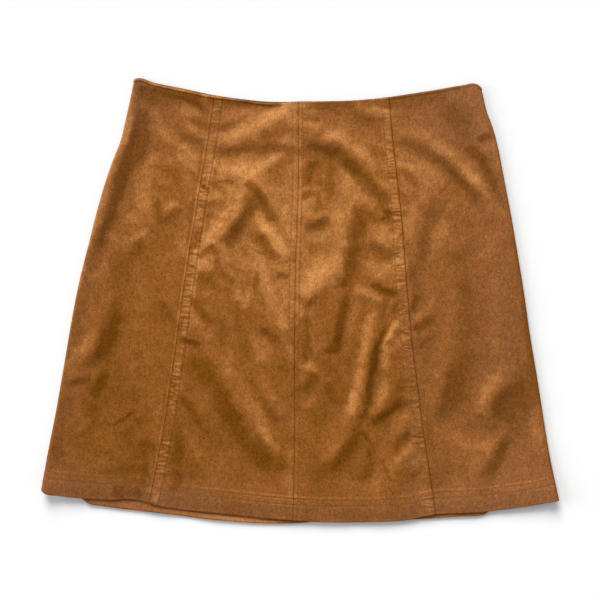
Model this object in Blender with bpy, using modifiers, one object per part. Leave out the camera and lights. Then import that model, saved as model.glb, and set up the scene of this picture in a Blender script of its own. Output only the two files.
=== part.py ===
"""An a-line skirt laid flat, front side up.

Four front panels and one back panel, each a wall of cloth. Millimetres are used throughout and turned into metres
when a panel's points are placed. +X runs to the right of the laid skirt, +Y from hem to waist, +Z up from the
surface that it lies on. The origin is on that surface, under the middle of the skirt's outline.
"""
import bpy
import bmesh
import numpy as np

MM = 0.001

# Cloth
CLOTH = 1.2                 # wall of one layer
TURN_UP = 24.0              # depth of the hem's turn-up, where the wall is two layers
TURN_UP_RAMP = 3.0          # over which the second layer begins
BRIDGE = 7.0                # how far above the back's turn-up the front already rises to pass over it
STRIP = 9.0                 # width of the topstitched seam allowance that lies raised beside a seam
STRIP_RISE = 0.5            # how far the allowances lift the cloth
THICKEST = 2 * CLOTH + STRIP_RISE

# How the pieces lie
SEAM_GAP = 0.3              # between the edges of two panels at a seam
LAYER_GAP = 0.3             # least space between the back and the front that lies on it
LOFT = 1.3                  # how far the front lies above that, before its folds
LOFT_LIMIT = 3.4            # most that any fold may stand above that
SIDE_ROLL = 2.6             # radius that each layer turns through at a side seam
SIDE_UPRIGHT = 0.4          # and the upright bit between that turn and the seam
SIDE_RISE = SIDE_ROLL + SIDE_UPRIGHT
SIDE_EASE = 16.0            # over which the front sinks from its side turn to its own height
SEAM_DIP = 0.5              # how far a panel's edge sinks at a seam
SEAM_DIP_REACH = 1.6
WAIST_BEAD = 0.45           # rise of the rolled waist edge
WAIST_BEAD_WIDTH = 2.2
CORNER_LIFT = 3.4           # how far the two hem corners curl up off the surface
CORNER_REACH = 52.0         # size of the curl, along the hem and up the side

# The five seams from the waist edge (down = 0) to the hem edge (down = 1), as x in mm:
# down, left side, left princess, centre front, right princess, right side
SEAMS = np.array((
    (0.00, -173.8,  -89.9, -1.8,  93.2, 190.2),
    (0.10, -183.0,  -95.8, -1.5,  97.3, 202.7),
    (0.15, -188.2,  -99.3, -1.5,  99.7, 208.2),
    (0.20, -196.7, -103.1, -1.6, 102.2, 212.3),
    (0.30, -210.5, -110.0, -3.2, 106.9, 220.6),
    (0.40, -221.5, -117.0, -4.7, 110.3, 228.0),
    (0.50, -232.2, -123.3, -5.1, 113.9, 235.0),
    (0.60, -240.4, -129.0, -5.8, 118.2, 241.2),
    (0.70, -247.7, -135.2, -5.6, 123.8, 248.4),
    (0.80, -255.2, -141.4, -5.4, 129.3, 255.2),
    (0.90, -263.4, -149.4, -6.3, 136.0, 262.2),
    (1.00, -270.8, -157.5, -7.4, 142.2, 270.8)))
LEFT_SIDE, LEFT_PRINCESS, CENTRE, RIGHT_PRINCESS, RIGHT_SIDE = range(1, 6)

# Waist edge: x, y of the front's edge, how far the back's edge stands above it
WAIST = np.array((
    (-173.8, 232.9, 0.4), (-151.2, 227.8, 0.9), (-121.8, 221.5, 1.3), (-92.4, 214.9, 1.6), (-63.0, 210.8, 1.4),
    (-33.6, 207.7, 2.1), (-18.9, 208.1, 1.6), (-4.2, 209.8, 0.4), (21.0, 210.1, 0.3), (54.6, 211.0, 0.3),
    (84.0, 213.1, 0.3), (113.4, 216.3, 0.9), (142.8, 221.0, 0.8), (172.2, 226.4, 0.5), (181.7, 227.7, 0.3),
    (187.1, 225.7, 0.3), (190.2, 222.4, 0.3)))

# Front hem edge: x, y
FRONT_HEM = np.array((
    (-270.8, -198.5), (-266.7, -201.9), (-252.0, -204.8), (-236.0, -206.7), (-222.6, -208.0), (-198.4, -209.4),
    (-177.4, -208.8), (-160.6, -211.1), (-144.9, -216.1), (-124.0, -219.3), (-84.0, -223.2), (-31.5, -228.8),
    (-3.2, -231.1), (21.0, -232.2), (52.5, -232.1), (84.0, -231.6), (105.0, -230.6), (118.0, -229.4),
    (127.0, -227.0), (142.8, -224.5), (168.0, -223.4), (189.0, -222.4), (201.6, -220.6), (231.0, -216.4),
    (245.7, -214.1), (260.4, -211.2), (270.8, -209.0)))

# Back hem edge: x, y
BACK_HEM = np.array((
    (-270.8, -198.5), (-264.0, -201.0), (-252.0, -203.2), (-232.0, -206.0), (-224.6, -210.0), (-210.0, -213.4),
    (-195.3, -216.4), (-166.0, -219.5), (-136.5, -222.8), (-107.0, -226.8), (-77.7, -230.0), (-48.3, -232.2),
    (-20.0, -233.4), (6.0, -233.0), (21.0, -231.8), (52.5, -230.8), (84.0, -230.4), (118.0, -230.0),
    (142.8, -227.9), (172.0, -226.0), (187.0, -225.6), (193.2, -224.4), (200.0, -220.2), (212.0, -217.0),
    (231.0, -214.4), (252.0, -210.6), (270.8, -208.2)))

# The largest folds of the front. Each runs through three points and fades out at both ends:
# x1, y1, x2, y2, x3, y3, half width, height (a trough has a negative height)
FOLDS = (
    # the roll inside the left side, from the waist down past the hip
    (-171.0,  222.0, -186.0,  150.0, -213.0,   40.0,  8.5,  2.6),
    (-158.0,  200.0, -173.0,  140.0, -196.0,   62.0,  9.0, -1.9),
    # the swag that sags from both princess seams across the top of the centre panels
    (-100.0,  166.0,  -10.0,  182.0,   92.0,  118.0, 10.0,  2.8),
    ( -95.0,  148.0,    0.0,  157.0,   80.0,   96.0,  8.0, -2.1),
    # folds that fan out from below the swag in the left centre panel
    ( -54.0,  124.0,  -72.0,   92.0,  -98.0,   58.0,  9.0,  2.6),
    ( -50.0,  112.0,  -34.0,   92.0,  -14.0,   48.0,  7.0, -1.8),
    ( -98.0,  -46.0,  -62.0, -100.0,  -22.0, -160.0,  9.0,  2.9),
    (-104.0,  -66.0,  -78.0, -106.0,  -36.0, -170.0,  8.0, -1.6),
    ( -56.0,  -76.0,  -36.0, -112.0,  -16.0, -146.0,  7.0, -1.5),
    # long folds down the right centre panel
    (  56.0,   98.0,   42.0,   36.0,   27.0,  -54.0, 10.0,  3.0),
    (  70.0,   96.0,   58.0,   34.0,   42.0,  -34.0,  7.5, -2.0),
    (  70.0,  -36.0,   55.0, -100.0,   36.0, -162.0,  8.0,  3.0),
    (  82.0,  -44.0,   69.0, -100.0,   58.0, -150.0,  7.0, -1.9),
    ( 108.0,  -92.0,   94.0, -110.0,   72.0, -120.0,  7.5,  2.2),
    # from the right princess seam over the hip to the right side
    ( 100.0,  180.0,  156.0,  150.0,  202.0,  104.0, 10.0,  2.8),
    ( 102.0,  166.0,  150.0,  134.0,  192.0,   92.0,  8.0, -1.8),
    ( 176.0,  176.0,  196.0,  150.0,  208.0,  110.0,  8.0,  2.0),
    # side panels below the hip
    (-192.0,  -20.0, -208.0,  -42.0, -232.0,  -64.0,  9.0,  2.4),
    (-172.0,   60.0, -186.0,    8.0, -204.0,  -64.0, 10.0,  1.7),
    ( 142.0,  104.0,  130.0,   52.0,  120.0,    6.0, 10.0, -1.8),
    ( 206.0,  -78.0,  192.0, -104.0,  178.0, -150.0, 11.0,  2.3),
    ( 236.0, -110.0,  216.0, -148.0,  196.0, -184.0, 10.0, -1.8))


def through(table_x, table_y, x):
    """Smooth curve through a table's points: a cubic in each step, its end slopes taken from the points round it."""
    slope = np.gradient(table_y, table_x)
    k = np.clip(np.searchsorted(table_x, x) - 1, 0, len(table_x) - 2)
    step = table_x[k + 1] - table_x[k]
    t = np.clip((x - table_x[k]) / step, 0.0, 1.0)
    return ((2 * t**3 - 3 * t**2 + 1) * table_y[k] + (t**3 - 2 * t**2 + t) * step * slope[k]
            + (3 * t**2 - 2 * t**3) * table_y[k + 1] + (t**3 - t**2) * step * slope[k + 1])


def ease(t):
    """0 below 0, 1 above 1, and a smooth step between."""
    t = np.clip(t, 0.0, 1.0)
    return t * t * (3 - 2 * t)


def seam_x(seam, down):
    return through(SEAMS[:, 0], SEAMS[:, seam], down)


def waist_y(x, layer):
    edge = through(WAIST[:, 0], WAIST[:, 1], x)
    return edge + through(WAIST[:, 0], WAIST[:, 2], x) if layer == "back" else edge


def hem_y(x, layer):
    table = BACK_HEM if layer == "back" else FRONT_HEM
    return through(table[:, 0], table[:, 1], x)


def turned_up(x, y, layer, clear=0.0, ramp=TURN_UP_RAMP):
    """1 in the hem's turn-up and 0 above it, by height above that layer's hem edge."""
    return 1 - ease((y - hem_y(x, layer) - TURN_UP - clear) / ramp)


def fold_height(x, y):
    """Sum of the folds: each a bell across its path, and an arch along it that is nought at both ends."""
    total = np.zeros_like(x)
    t = np.linspace(0.0, 1.0, 13)
    for x1, y1, x2, y2, x3, y3, half_width, height in FOLDS:
        first, middle, last = (1 - t) * (1 - 2 * t), 4 * t * (1 - t), t * (2 * t - 1)
        path_x = first * x1 + middle * x2 + last * x3
        path_y = first * y1 + middle * y2 + last * y3
        nearest = np.full_like(x, np.inf)
        along = np.zeros_like(x)
        for k in range(len(t) - 1):
            run_x, run_y = path_x[k + 1] - path_x[k], path_y[k + 1] - path_y[k]
            part = ((x - path_x[k]) * run_x + (y - path_y[k]) * run_y) / (run_x**2 + run_y**2)
            part = np.clip(part, 0.0, 1.0)
            distance = np.hypot(x - path_x[k] - part * run_x, y - path_y[k] - part * run_y)
            closer = distance < nearest
            nearest = np.where(closer, distance, nearest)
            along = np.where(closer, t[k] + part * (t[k + 1] - t[k]), along)
        total += height * np.exp(-(nearest / half_width) ** 2) * np.sqrt(4 * along * (1 - along))
    return total


def corner_lift(x, y):
    """How far both layers curl up off the surface, a dome over each hem corner."""
    lift = np.zeros_like(x)
    for side in (-1, 1):
        corner_x = side * SEAMS[-1, RIGHT_SIDE]
        corner_y = hem_y(np.array([corner_x]), "front")[0]
        away = np.hypot(x - corner_x, y - corner_y) / CORNER_REACH
        lift += CORNER_LIFT * (1 - ease(away))
    return lift


def front_height(x, y):
    """Height of the front's outer face: both layers, the space between them, the loft and the folds.

    The folds are held between nought and the limit by a curve that bends over smoothly near each."""
    loft = LOFT + fold_height(x, y)
    loft = LOFT_LIMIT / (1 + np.exp(-(loft - 0.5 * LOFT_LIMIT) * 4 / LOFT_LIMIT))
    hem = turned_up(x, y, "front")
    over_back_hem = turned_up(x, y, "back", clear=BRIDGE, ramp=2 * BRIDGE)
    layers = CLOTH * (1 + over_back_hem) + LAYER_GAP + CLOTH * (1 + hem)
    return layers + loft * (1 - 0.55 * hem) + corner_lift(x, y)


def places(near_start, middle, near_end, clear_start, clear_end):
    """Places across a panel as (fixed mm, share of the width): fixed distances from each edge, evenly between."""
    even = np.linspace(0.0, 1.0, middle + 2)[1:-1]
    fixed = [*near_start, *(clear_start * (1 - even) - clear_end * even), *(-d for d in near_end)]
    share = [*(0.0 for _ in near_start), *even, *(1.0 for _ in near_end)]
    return np.array(fixed), np.array(share)


ROLL_TURN = SIDE_UPRIGHT + SIDE_ROLL * np.pi / 2                 # length of cloth in the side's turn
ROLL = (0.0, *(SIDE_UPRIGHT + SIDE_ROLL * np.pi / 2 * k / 3 for k in range(4)))
STRIP_EDGE = (0.0, 1.4, STRIP - 1.0, STRIP + 1.0)                # seam edge, its shoulder, the strip's far edge
PLAIN_EDGE = (0.0, 1.6)
WAIST_ROWS = (0.0, 1.1, WAIST_BEAD_WIDTH, 4.0)
HEM_ROWS = (TURN_UP + TURN_UP_RAMP, TURN_UP, 12.0, 1.5, 0.0)
MIDDLE_ROWS = 24                                                 # the same in every panel, so that the sides agree


def rows(middle):
    return places(WAIST_ROWS, middle, HEM_ROWS, WAIST_ROWS[-1], HEM_ROWS[0])


def lay_out(layer, left, right, across, down_rows):
    """Points of a panel: x between its two seams, y between its waist and hem edges, both in mm.

    Columns run from waist to hem at a fixed distance from a seam, or at a share of the panel's width. A side's
    turn takes ROLL_TURN of cloth and SIDE_ROLL of width, so distances there are measured round the turn. The
    turn's height comes back as a share of its full rise.
    """
    fixed, share = across
    row_fixed, row_share = down_rows
    is_left_side, is_right_side = left == LEFT_SIDE, right == RIGHT_SIDE
    gap_left = 0.0 if is_left_side else SEAM_GAP / 2
    gap_right = 0.0 if is_right_side else SEAM_GAP / 2
    spare = (ROLL_TURN - SIDE_ROLL) * (is_left_side + is_right_side)

    def turn_of(away):
        """Width and share of the rise at a distance of cloth from the side seam: upright, then a quarter circle."""
        angle = np.clip((away - SIDE_UPRIGHT) / SIDE_ROLL, 0.0, np.pi / 2)
        width = np.where(away < ROLL_TURN, SIDE_ROLL * (1 - np.cos(angle)), away - ROLL_TURN + SIDE_ROLL)
        return width, (np.minimum(away, SIDE_UPRIGHT) + SIDE_ROLL * np.sin(angle)) / SIDE_RISE

    def at(down):
        start, end = seam_x(left, down) + gap_left, seam_x(right, down) - gap_right
        cloth_width = end - start + spare
        from_left = fixed[:, None] + share[:, None] * cloth_width
        from_right = cloth_width - from_left
        width_left, turn_left = turn_of(from_left) if is_left_side else (from_left, 1.0)
        width_right, turn_right = turn_of(from_right) if is_right_side else (from_right, 1.0)
        x = np.where(from_left < from_right, start + width_left, end - width_right)
        return x, from_left, from_right, turn_left * turn_right * np.ones_like(x)

    ends = np.broadcast_to(np.array([0.0, 1.0]), (len(fixed), 2))
    end_x = at(ends)[0]
    top, bottom = waist_y(end_x[:, 0], layer), hem_y(end_x[:, 1], layer)
    length = top - bottom
    distance = row_fixed[None, :] + row_share[None, :] * length[:, None]
    down = distance / length[:, None]
    x, from_left, from_right, turn = at(down)
    return x, top[:, None] - distance, from_left, from_right, turn, distance


def cloth_object(name, x, y, z, wall, colour, faces_down=False):
    """A grid laid through the panel's points, given its thickness by a Solidify on the side away from its face."""
    columns, lines = x.shape
    bm = bmesh.new()
    bmesh.ops.create_grid(bm, x_segments=columns - 1, y_segments=lines - 1, size=0.5)
    bm.verts.ensure_lookup_table()
    grid = np.array([v.co for v in bm.verts])
    i = np.rint((grid[:, 0] + 0.5) * (columns - 1)).astype(int)
    j = lines - 1 - np.rint((grid[:, 1] + 0.5) * (lines - 1)).astype(int)
    for vert, px, py, pz in zip(bm.verts, x[i, j], y[i, j], z[i, j]):
        vert.co = (px * MM, py * MM, pz * MM)
    if faces_down:
        bmesh.ops.reverse_faces(bm, faces=bm.faces)
    mesh = bpy.data.meshes.new(name)
    bm.to_mesh(mesh)
    bm.free()
    mesh.shade_smooth()
    piece = bpy.data.objects.new(name, mesh)
    skirt.objects.link(piece)
    group = piece.vertex_groups.new(name="layers")
    for index, share in enumerate(wall[i, j] / THICKEST):
        group.add([index], float(share), "REPLACE")
    solid = piece.modifiers.new("cloth", "SOLIDIFY")
    solid.thickness = THICKEST * MM
    solid.offset = -1.0
    solid.vertex_group = group.name
    mesh.materials.append(suede(name, colour))
    return piece


def suede(name, colour):
    material = bpy.data.materials.new(name)
    material.use_nodes = True
    shader = material.node_tree.nodes["Principled BSDF"]
    shader.inputs["Base Color"].default_value = (*colour, 1.0)
    shader.inputs["Roughness"].default_value = 0.9
    shader.inputs["Metallic"].default_value = 0.0
    return material


def front_panel(name, left, right, strip_left, strip_right, middle, colour):
    """One front panel: its place from the seams and edges, then its relief at seams, waist edge and hem."""
    def edge(seam, has_strip):
        if seam in (LEFT_SIDE, RIGHT_SIDE):
            return ROLL
        return STRIP_EDGE if has_strip else PLAIN_EDGE

    near_left, near_right = edge(left, strip_left), edge(right, strip_right)
    across = places(near_left, middle, near_right[::-1], near_left[-1], near_right[-1])
    x, y, from_left, from_right, turn, from_waist = lay_out("front", left, right, across, rows(MIDDLE_ROWS))
    strip = np.zeros_like(x)
    dip = np.zeros_like(x)
    for seam, has_strip, away in ((left, strip_left, from_left), (right, strip_right, from_right)):
        if seam not in (LEFT_SIDE, RIGHT_SIDE):
            dip += SEAM_DIP * np.exp(-away / SEAM_DIP_REACH)
        if has_strip:
            strip += STRIP_RISE * (1 - ease((away - STRIP + 1.0) / 2.0))
    bead = WAIST_BEAD * (1 - ease((from_waist - 0.5 * WAIST_BEAD_WIDTH) / WAIST_BEAD_WIDTH))
    at_side = 2 * SIDE_RISE + LAYER_GAP + corner_lift(x, y)
    height = front_height(x, y) + strip + bead - dip
    for seam, away in ((left, from_left), (right, from_right)):
        if seam in (LEFT_SIDE, RIGHT_SIDE):
            height = at_side + (height - at_side) * ease((away - ROLL_TURN) / SIDE_EASE)
    z = height - SIDE_RISE * (1 - turn)
    wall = CLOTH * (1 + turned_up(x, y, "front")) + strip
    return cloth_object(name, x, y, z, wall, colour)


def back_panel(name, colour):
    """The back: flat on the surface, turning up at both sides to meet the front."""
    across = places(ROLL, 18, ROLL[::-1], ROLL_TURN, ROLL_TURN)
    x, y, _, _, turn, _ = lay_out("back", LEFT_SIDE, RIGHT_SIDE, across, rows(MIDDLE_ROWS))
    z = SIDE_RISE * (1 - turn) + corner_lift(x, y)
    wall = CLOTH * (1 + turned_up(x, y, "back"))
    return cloth_object(name, x, y, z, wall, colour, faces_down=True)


for thing in list(bpy.data.objects):
    bpy.data.objects.remove(thing)
skirt = bpy.data.collections.new("a_line_skirt")
bpy.context.scene.collection.children.link(skirt)

front_panel("front_side_left", LEFT_SIDE, LEFT_PRINCESS, False, False, 10, (0.33, 0.13, 0.035))
front_panel("front_centre_left", LEFT_PRINCESS, CENTRE, True, True, 9, (0.36, 0.15, 0.04))
front_panel("front_centre_right", CENTRE, RIGHT_PRINCESS, True, True, 9, (0.36, 0.15, 0.04))
front_panel("front_side_right", RIGHT_PRINCESS, RIGHT_SIDE, False, False, 10, (0.33, 0.13, 0.035))
back_panel("back", (0.27, 0.10, 0.03))
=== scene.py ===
"""How an a-line skirt in brushed suede cloth looks, laid flat with its front side up.

Sizes are in millimetres until a piece's points are placed in metres. +X runs to the right of the laid skirt,
+Y from hem to waist, +Z up from the surface that it lies on. Each panel is a closed shell worked out on a
grid: columns run down the cloth from waist to hem, and rows run across it.
"""

import math

import bpy
import numpy as np
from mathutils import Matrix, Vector


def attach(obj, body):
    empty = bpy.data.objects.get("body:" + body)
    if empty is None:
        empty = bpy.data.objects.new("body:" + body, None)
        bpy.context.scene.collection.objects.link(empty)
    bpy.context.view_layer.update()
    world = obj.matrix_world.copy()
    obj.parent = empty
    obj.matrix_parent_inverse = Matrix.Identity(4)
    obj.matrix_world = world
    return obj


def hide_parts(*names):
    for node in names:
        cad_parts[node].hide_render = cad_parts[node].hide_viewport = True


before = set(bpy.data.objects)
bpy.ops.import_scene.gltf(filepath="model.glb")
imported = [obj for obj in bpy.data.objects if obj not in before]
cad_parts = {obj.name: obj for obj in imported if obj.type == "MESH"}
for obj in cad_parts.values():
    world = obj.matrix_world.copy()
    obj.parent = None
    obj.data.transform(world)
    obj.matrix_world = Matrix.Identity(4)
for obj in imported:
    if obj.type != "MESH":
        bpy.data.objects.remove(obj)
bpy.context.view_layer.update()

MM = 0.001

# Cloth
CLOTH = 0.85                # wall of one layer
TURN_UP = 24.0              # depth of the hem's turn-up, where the wall is two layers
TURN_UP_RAMP = 3.0          # over which the second layer begins
BRIDGE = 7.0                # how far above the back's turn-up the front already rises to pass over it
STRIP_RISE = 0.5            # how far the seam allowances lift the cloth
CENTRE_RISE = 0.22          # and those of the centre seam, which are pressed flatter

# How the pieces lie
SEAM_GAP = 0.05             # between the edges of two panels at a seam
LAYER_GAP = 0.2             # least space between the back and the front that lies on it
LOFT = 1.3                  # how far the front lies above that, before its folds
LOFT_LEAST = 0.25           # the least and the most that folds may leave of it
LOFT_MOST = 5.2
SIDE_ROLL = 2.6             # radius that each layer turns through at a side seam
SIDE_UPRIGHT = 0.4          # and the upright bit between that turn and the seam
SIDE_RISE = SIDE_ROLL + SIDE_UPRIGHT
SIDE_EASE = 16.0            # over which the front sinks from its side turn to its own height
SEAM_ROUND = 0.5            # radius that a panel's edge turns down through at a seam
SIDE_ROUND = 0.45           # and at a side seam
WAIST_BEAD = 0.5            # rise of the rolled waist edge
WAIST_BEAD_WIDTH = 2.2      # and about how wide it is
WAIST_LINE = 3.4            # how far below the waist edge its turned edge is caught down
HEM_LIFT = 1.4              # how far the stiff hem stands off the surface, and over what depth
HEM_LIFT_REACH = 38.0
CORNER_LIFT = 3.8           # how much further the two hem corners curl up
CORNER_REACH = 78.0         # size of the curl, along the hem and up the side
BACK_SHARE = 0.3            # share of the front's folds that the back takes up too
FOLD_SHARE = 0.88           # share of a fold's height that its cloth stands up by

# The five seams from the waist edge (down = 0) to the hem edge (down = 1), as x:
# down, left side, left princess, centre front, right princess, right side
SEAMS = np.array((
    (0.00, -173.8,  -89.9, -1.8,  93.2, 190.2),
    (0.05, -178.2,  -92.8, -1.6,  95.2, 195.0),
    (0.10, -183.0,  -95.8, -1.5,  97.3, 202.7),
    (0.15, -188.2,  -99.3, -1.5,  99.7, 208.2),
    (0.20, -196.7, -103.1, -1.6, 102.2, 212.3),
    (0.30, -210.5, -110.0, -3.2, 106.9, 220.6),
    (0.40, -221.5, -117.0, -4.7, 110.3, 228.0),
    (0.50, -232.2, -123.3, -5.1, 113.9, 235.0),
    (0.60, -240.4, -129.0, -5.8, 118.2, 241.2),
    (0.70, -247.7, -135.2, -5.6, 123.8, 248.4),
    (0.80, -255.2, -141.4, -5.4, 129.3, 255.2),
    (0.90, -263.4, -149.4, -6.3, 136.0, 262.2),
    (1.00, -270.8, -157.5, -7.4, 142.2, 270.8)))
LEFT_SIDE, LEFT_PRINCESS, CENTRE, RIGHT_PRINCESS, RIGHT_SIDE = range(1, 6)
SIDES = (LEFT_SIDE, RIGHT_SIDE)

# Width of the topstitched strip beside each princess seam: down, left seam's, right seam's
STRIPS = np.array((
    (0.0, 9.0, 7.6), (0.2, 8.7, 8.6), (0.4, 9.0, 10.4), (0.6, 9.3, 10.9), (0.8, 9.5, 12.2), (1.0, 8.6, 13.6)))
STRIP = 9.0                 # the width that the columns are given for
CENTRE_ROW_LEFT = 5.9       # stitch rows on each side of the centre seam
CENTRE_ROW_RIGHT = 4.3
CENTRE_ROW_CLOSE = 1.9      # and a fainter groove closer by its left side

# Waist edge: x, y of the front's edge, how far the back's edge stands above it
WAIST = np.array((
    (-173.8, 231.6, 0.2), (-170.6, 232.7, 0.3), (-151.2, 227.8, 0.9), (-121.8, 221.5, 1.3),
    (-92.4, 214.9, 1.6), (-63.0, 210.8, 1.4), (-33.6, 207.2, 2.1), (-18.9, 207.4, 1.6), (-4.2, 208.9, 0.4),
    (21.0, 209.2, 0.3), (54.6, 210.1, 0.3), (84.0, 212.6, 0.3), (113.4, 216.3, 0.9), (142.8, 221.0, 0.8),
    (172.2, 226.4, 0.5), (181.7, 227.7, 0.3), (187.1, 225.7, 0.3), (190.2, 222.4, 0.3)))

# Front hem edge: x, y
FRONT_HEM = np.array((
    (-270.8, -198.8), (-266.7, -201.6), (-252.0, -204.6), (-236.0, -206.6), (-222.6, -208.0),
    (-198.4, -209.2), (-177.4, -208.6), (-160.6, -211.4), (-144.9, -216.1), (-124.0, -219.2),
    (-84.0, -223.4), (-31.5, -228.9), (-3.2, -231.1), (21.0, -232.4), (52.5, -232.7), (84.0, -232.0),
    (105.0, -231.0), (118.0, -229.5), (127.0, -227.0), (142.8, -224.4), (168.0, -223.2), (189.0, -222.2),
    (201.6, -220.6), (231.0, -216.6), (245.7, -214.3), (260.4, -211.3), (270.8, -209.2)))

# Back hem edge: x, y
BACK_HEM = np.array((
    (-270.8, -198.5), (-264.0, -201.0), (-252.0, -203.2), (-234.0, -205.6), (-227.5, -208.6),
    (-223.0, -212.4), (-210.0, -215.2), (-195.3, -217.6), (-166.0, -220.9), (-136.5, -224.3),
    (-107.0, -228.3), (-77.7, -231.2), (-48.3, -233.4), (-20.0, -233.9), (6.0, -232.9), (21.0, -231.0),
    (52.5, -230.2), (84.0, -230.0), (118.0, -229.8), (142.8, -228.3), (172.0, -226.4), (187.0, -225.9),
    (193.2, -224.6), (200.0, -219.8), (212.0, -217.0), (231.0, -214.4), (252.0, -210.6), (270.8, -208.2)))

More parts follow.
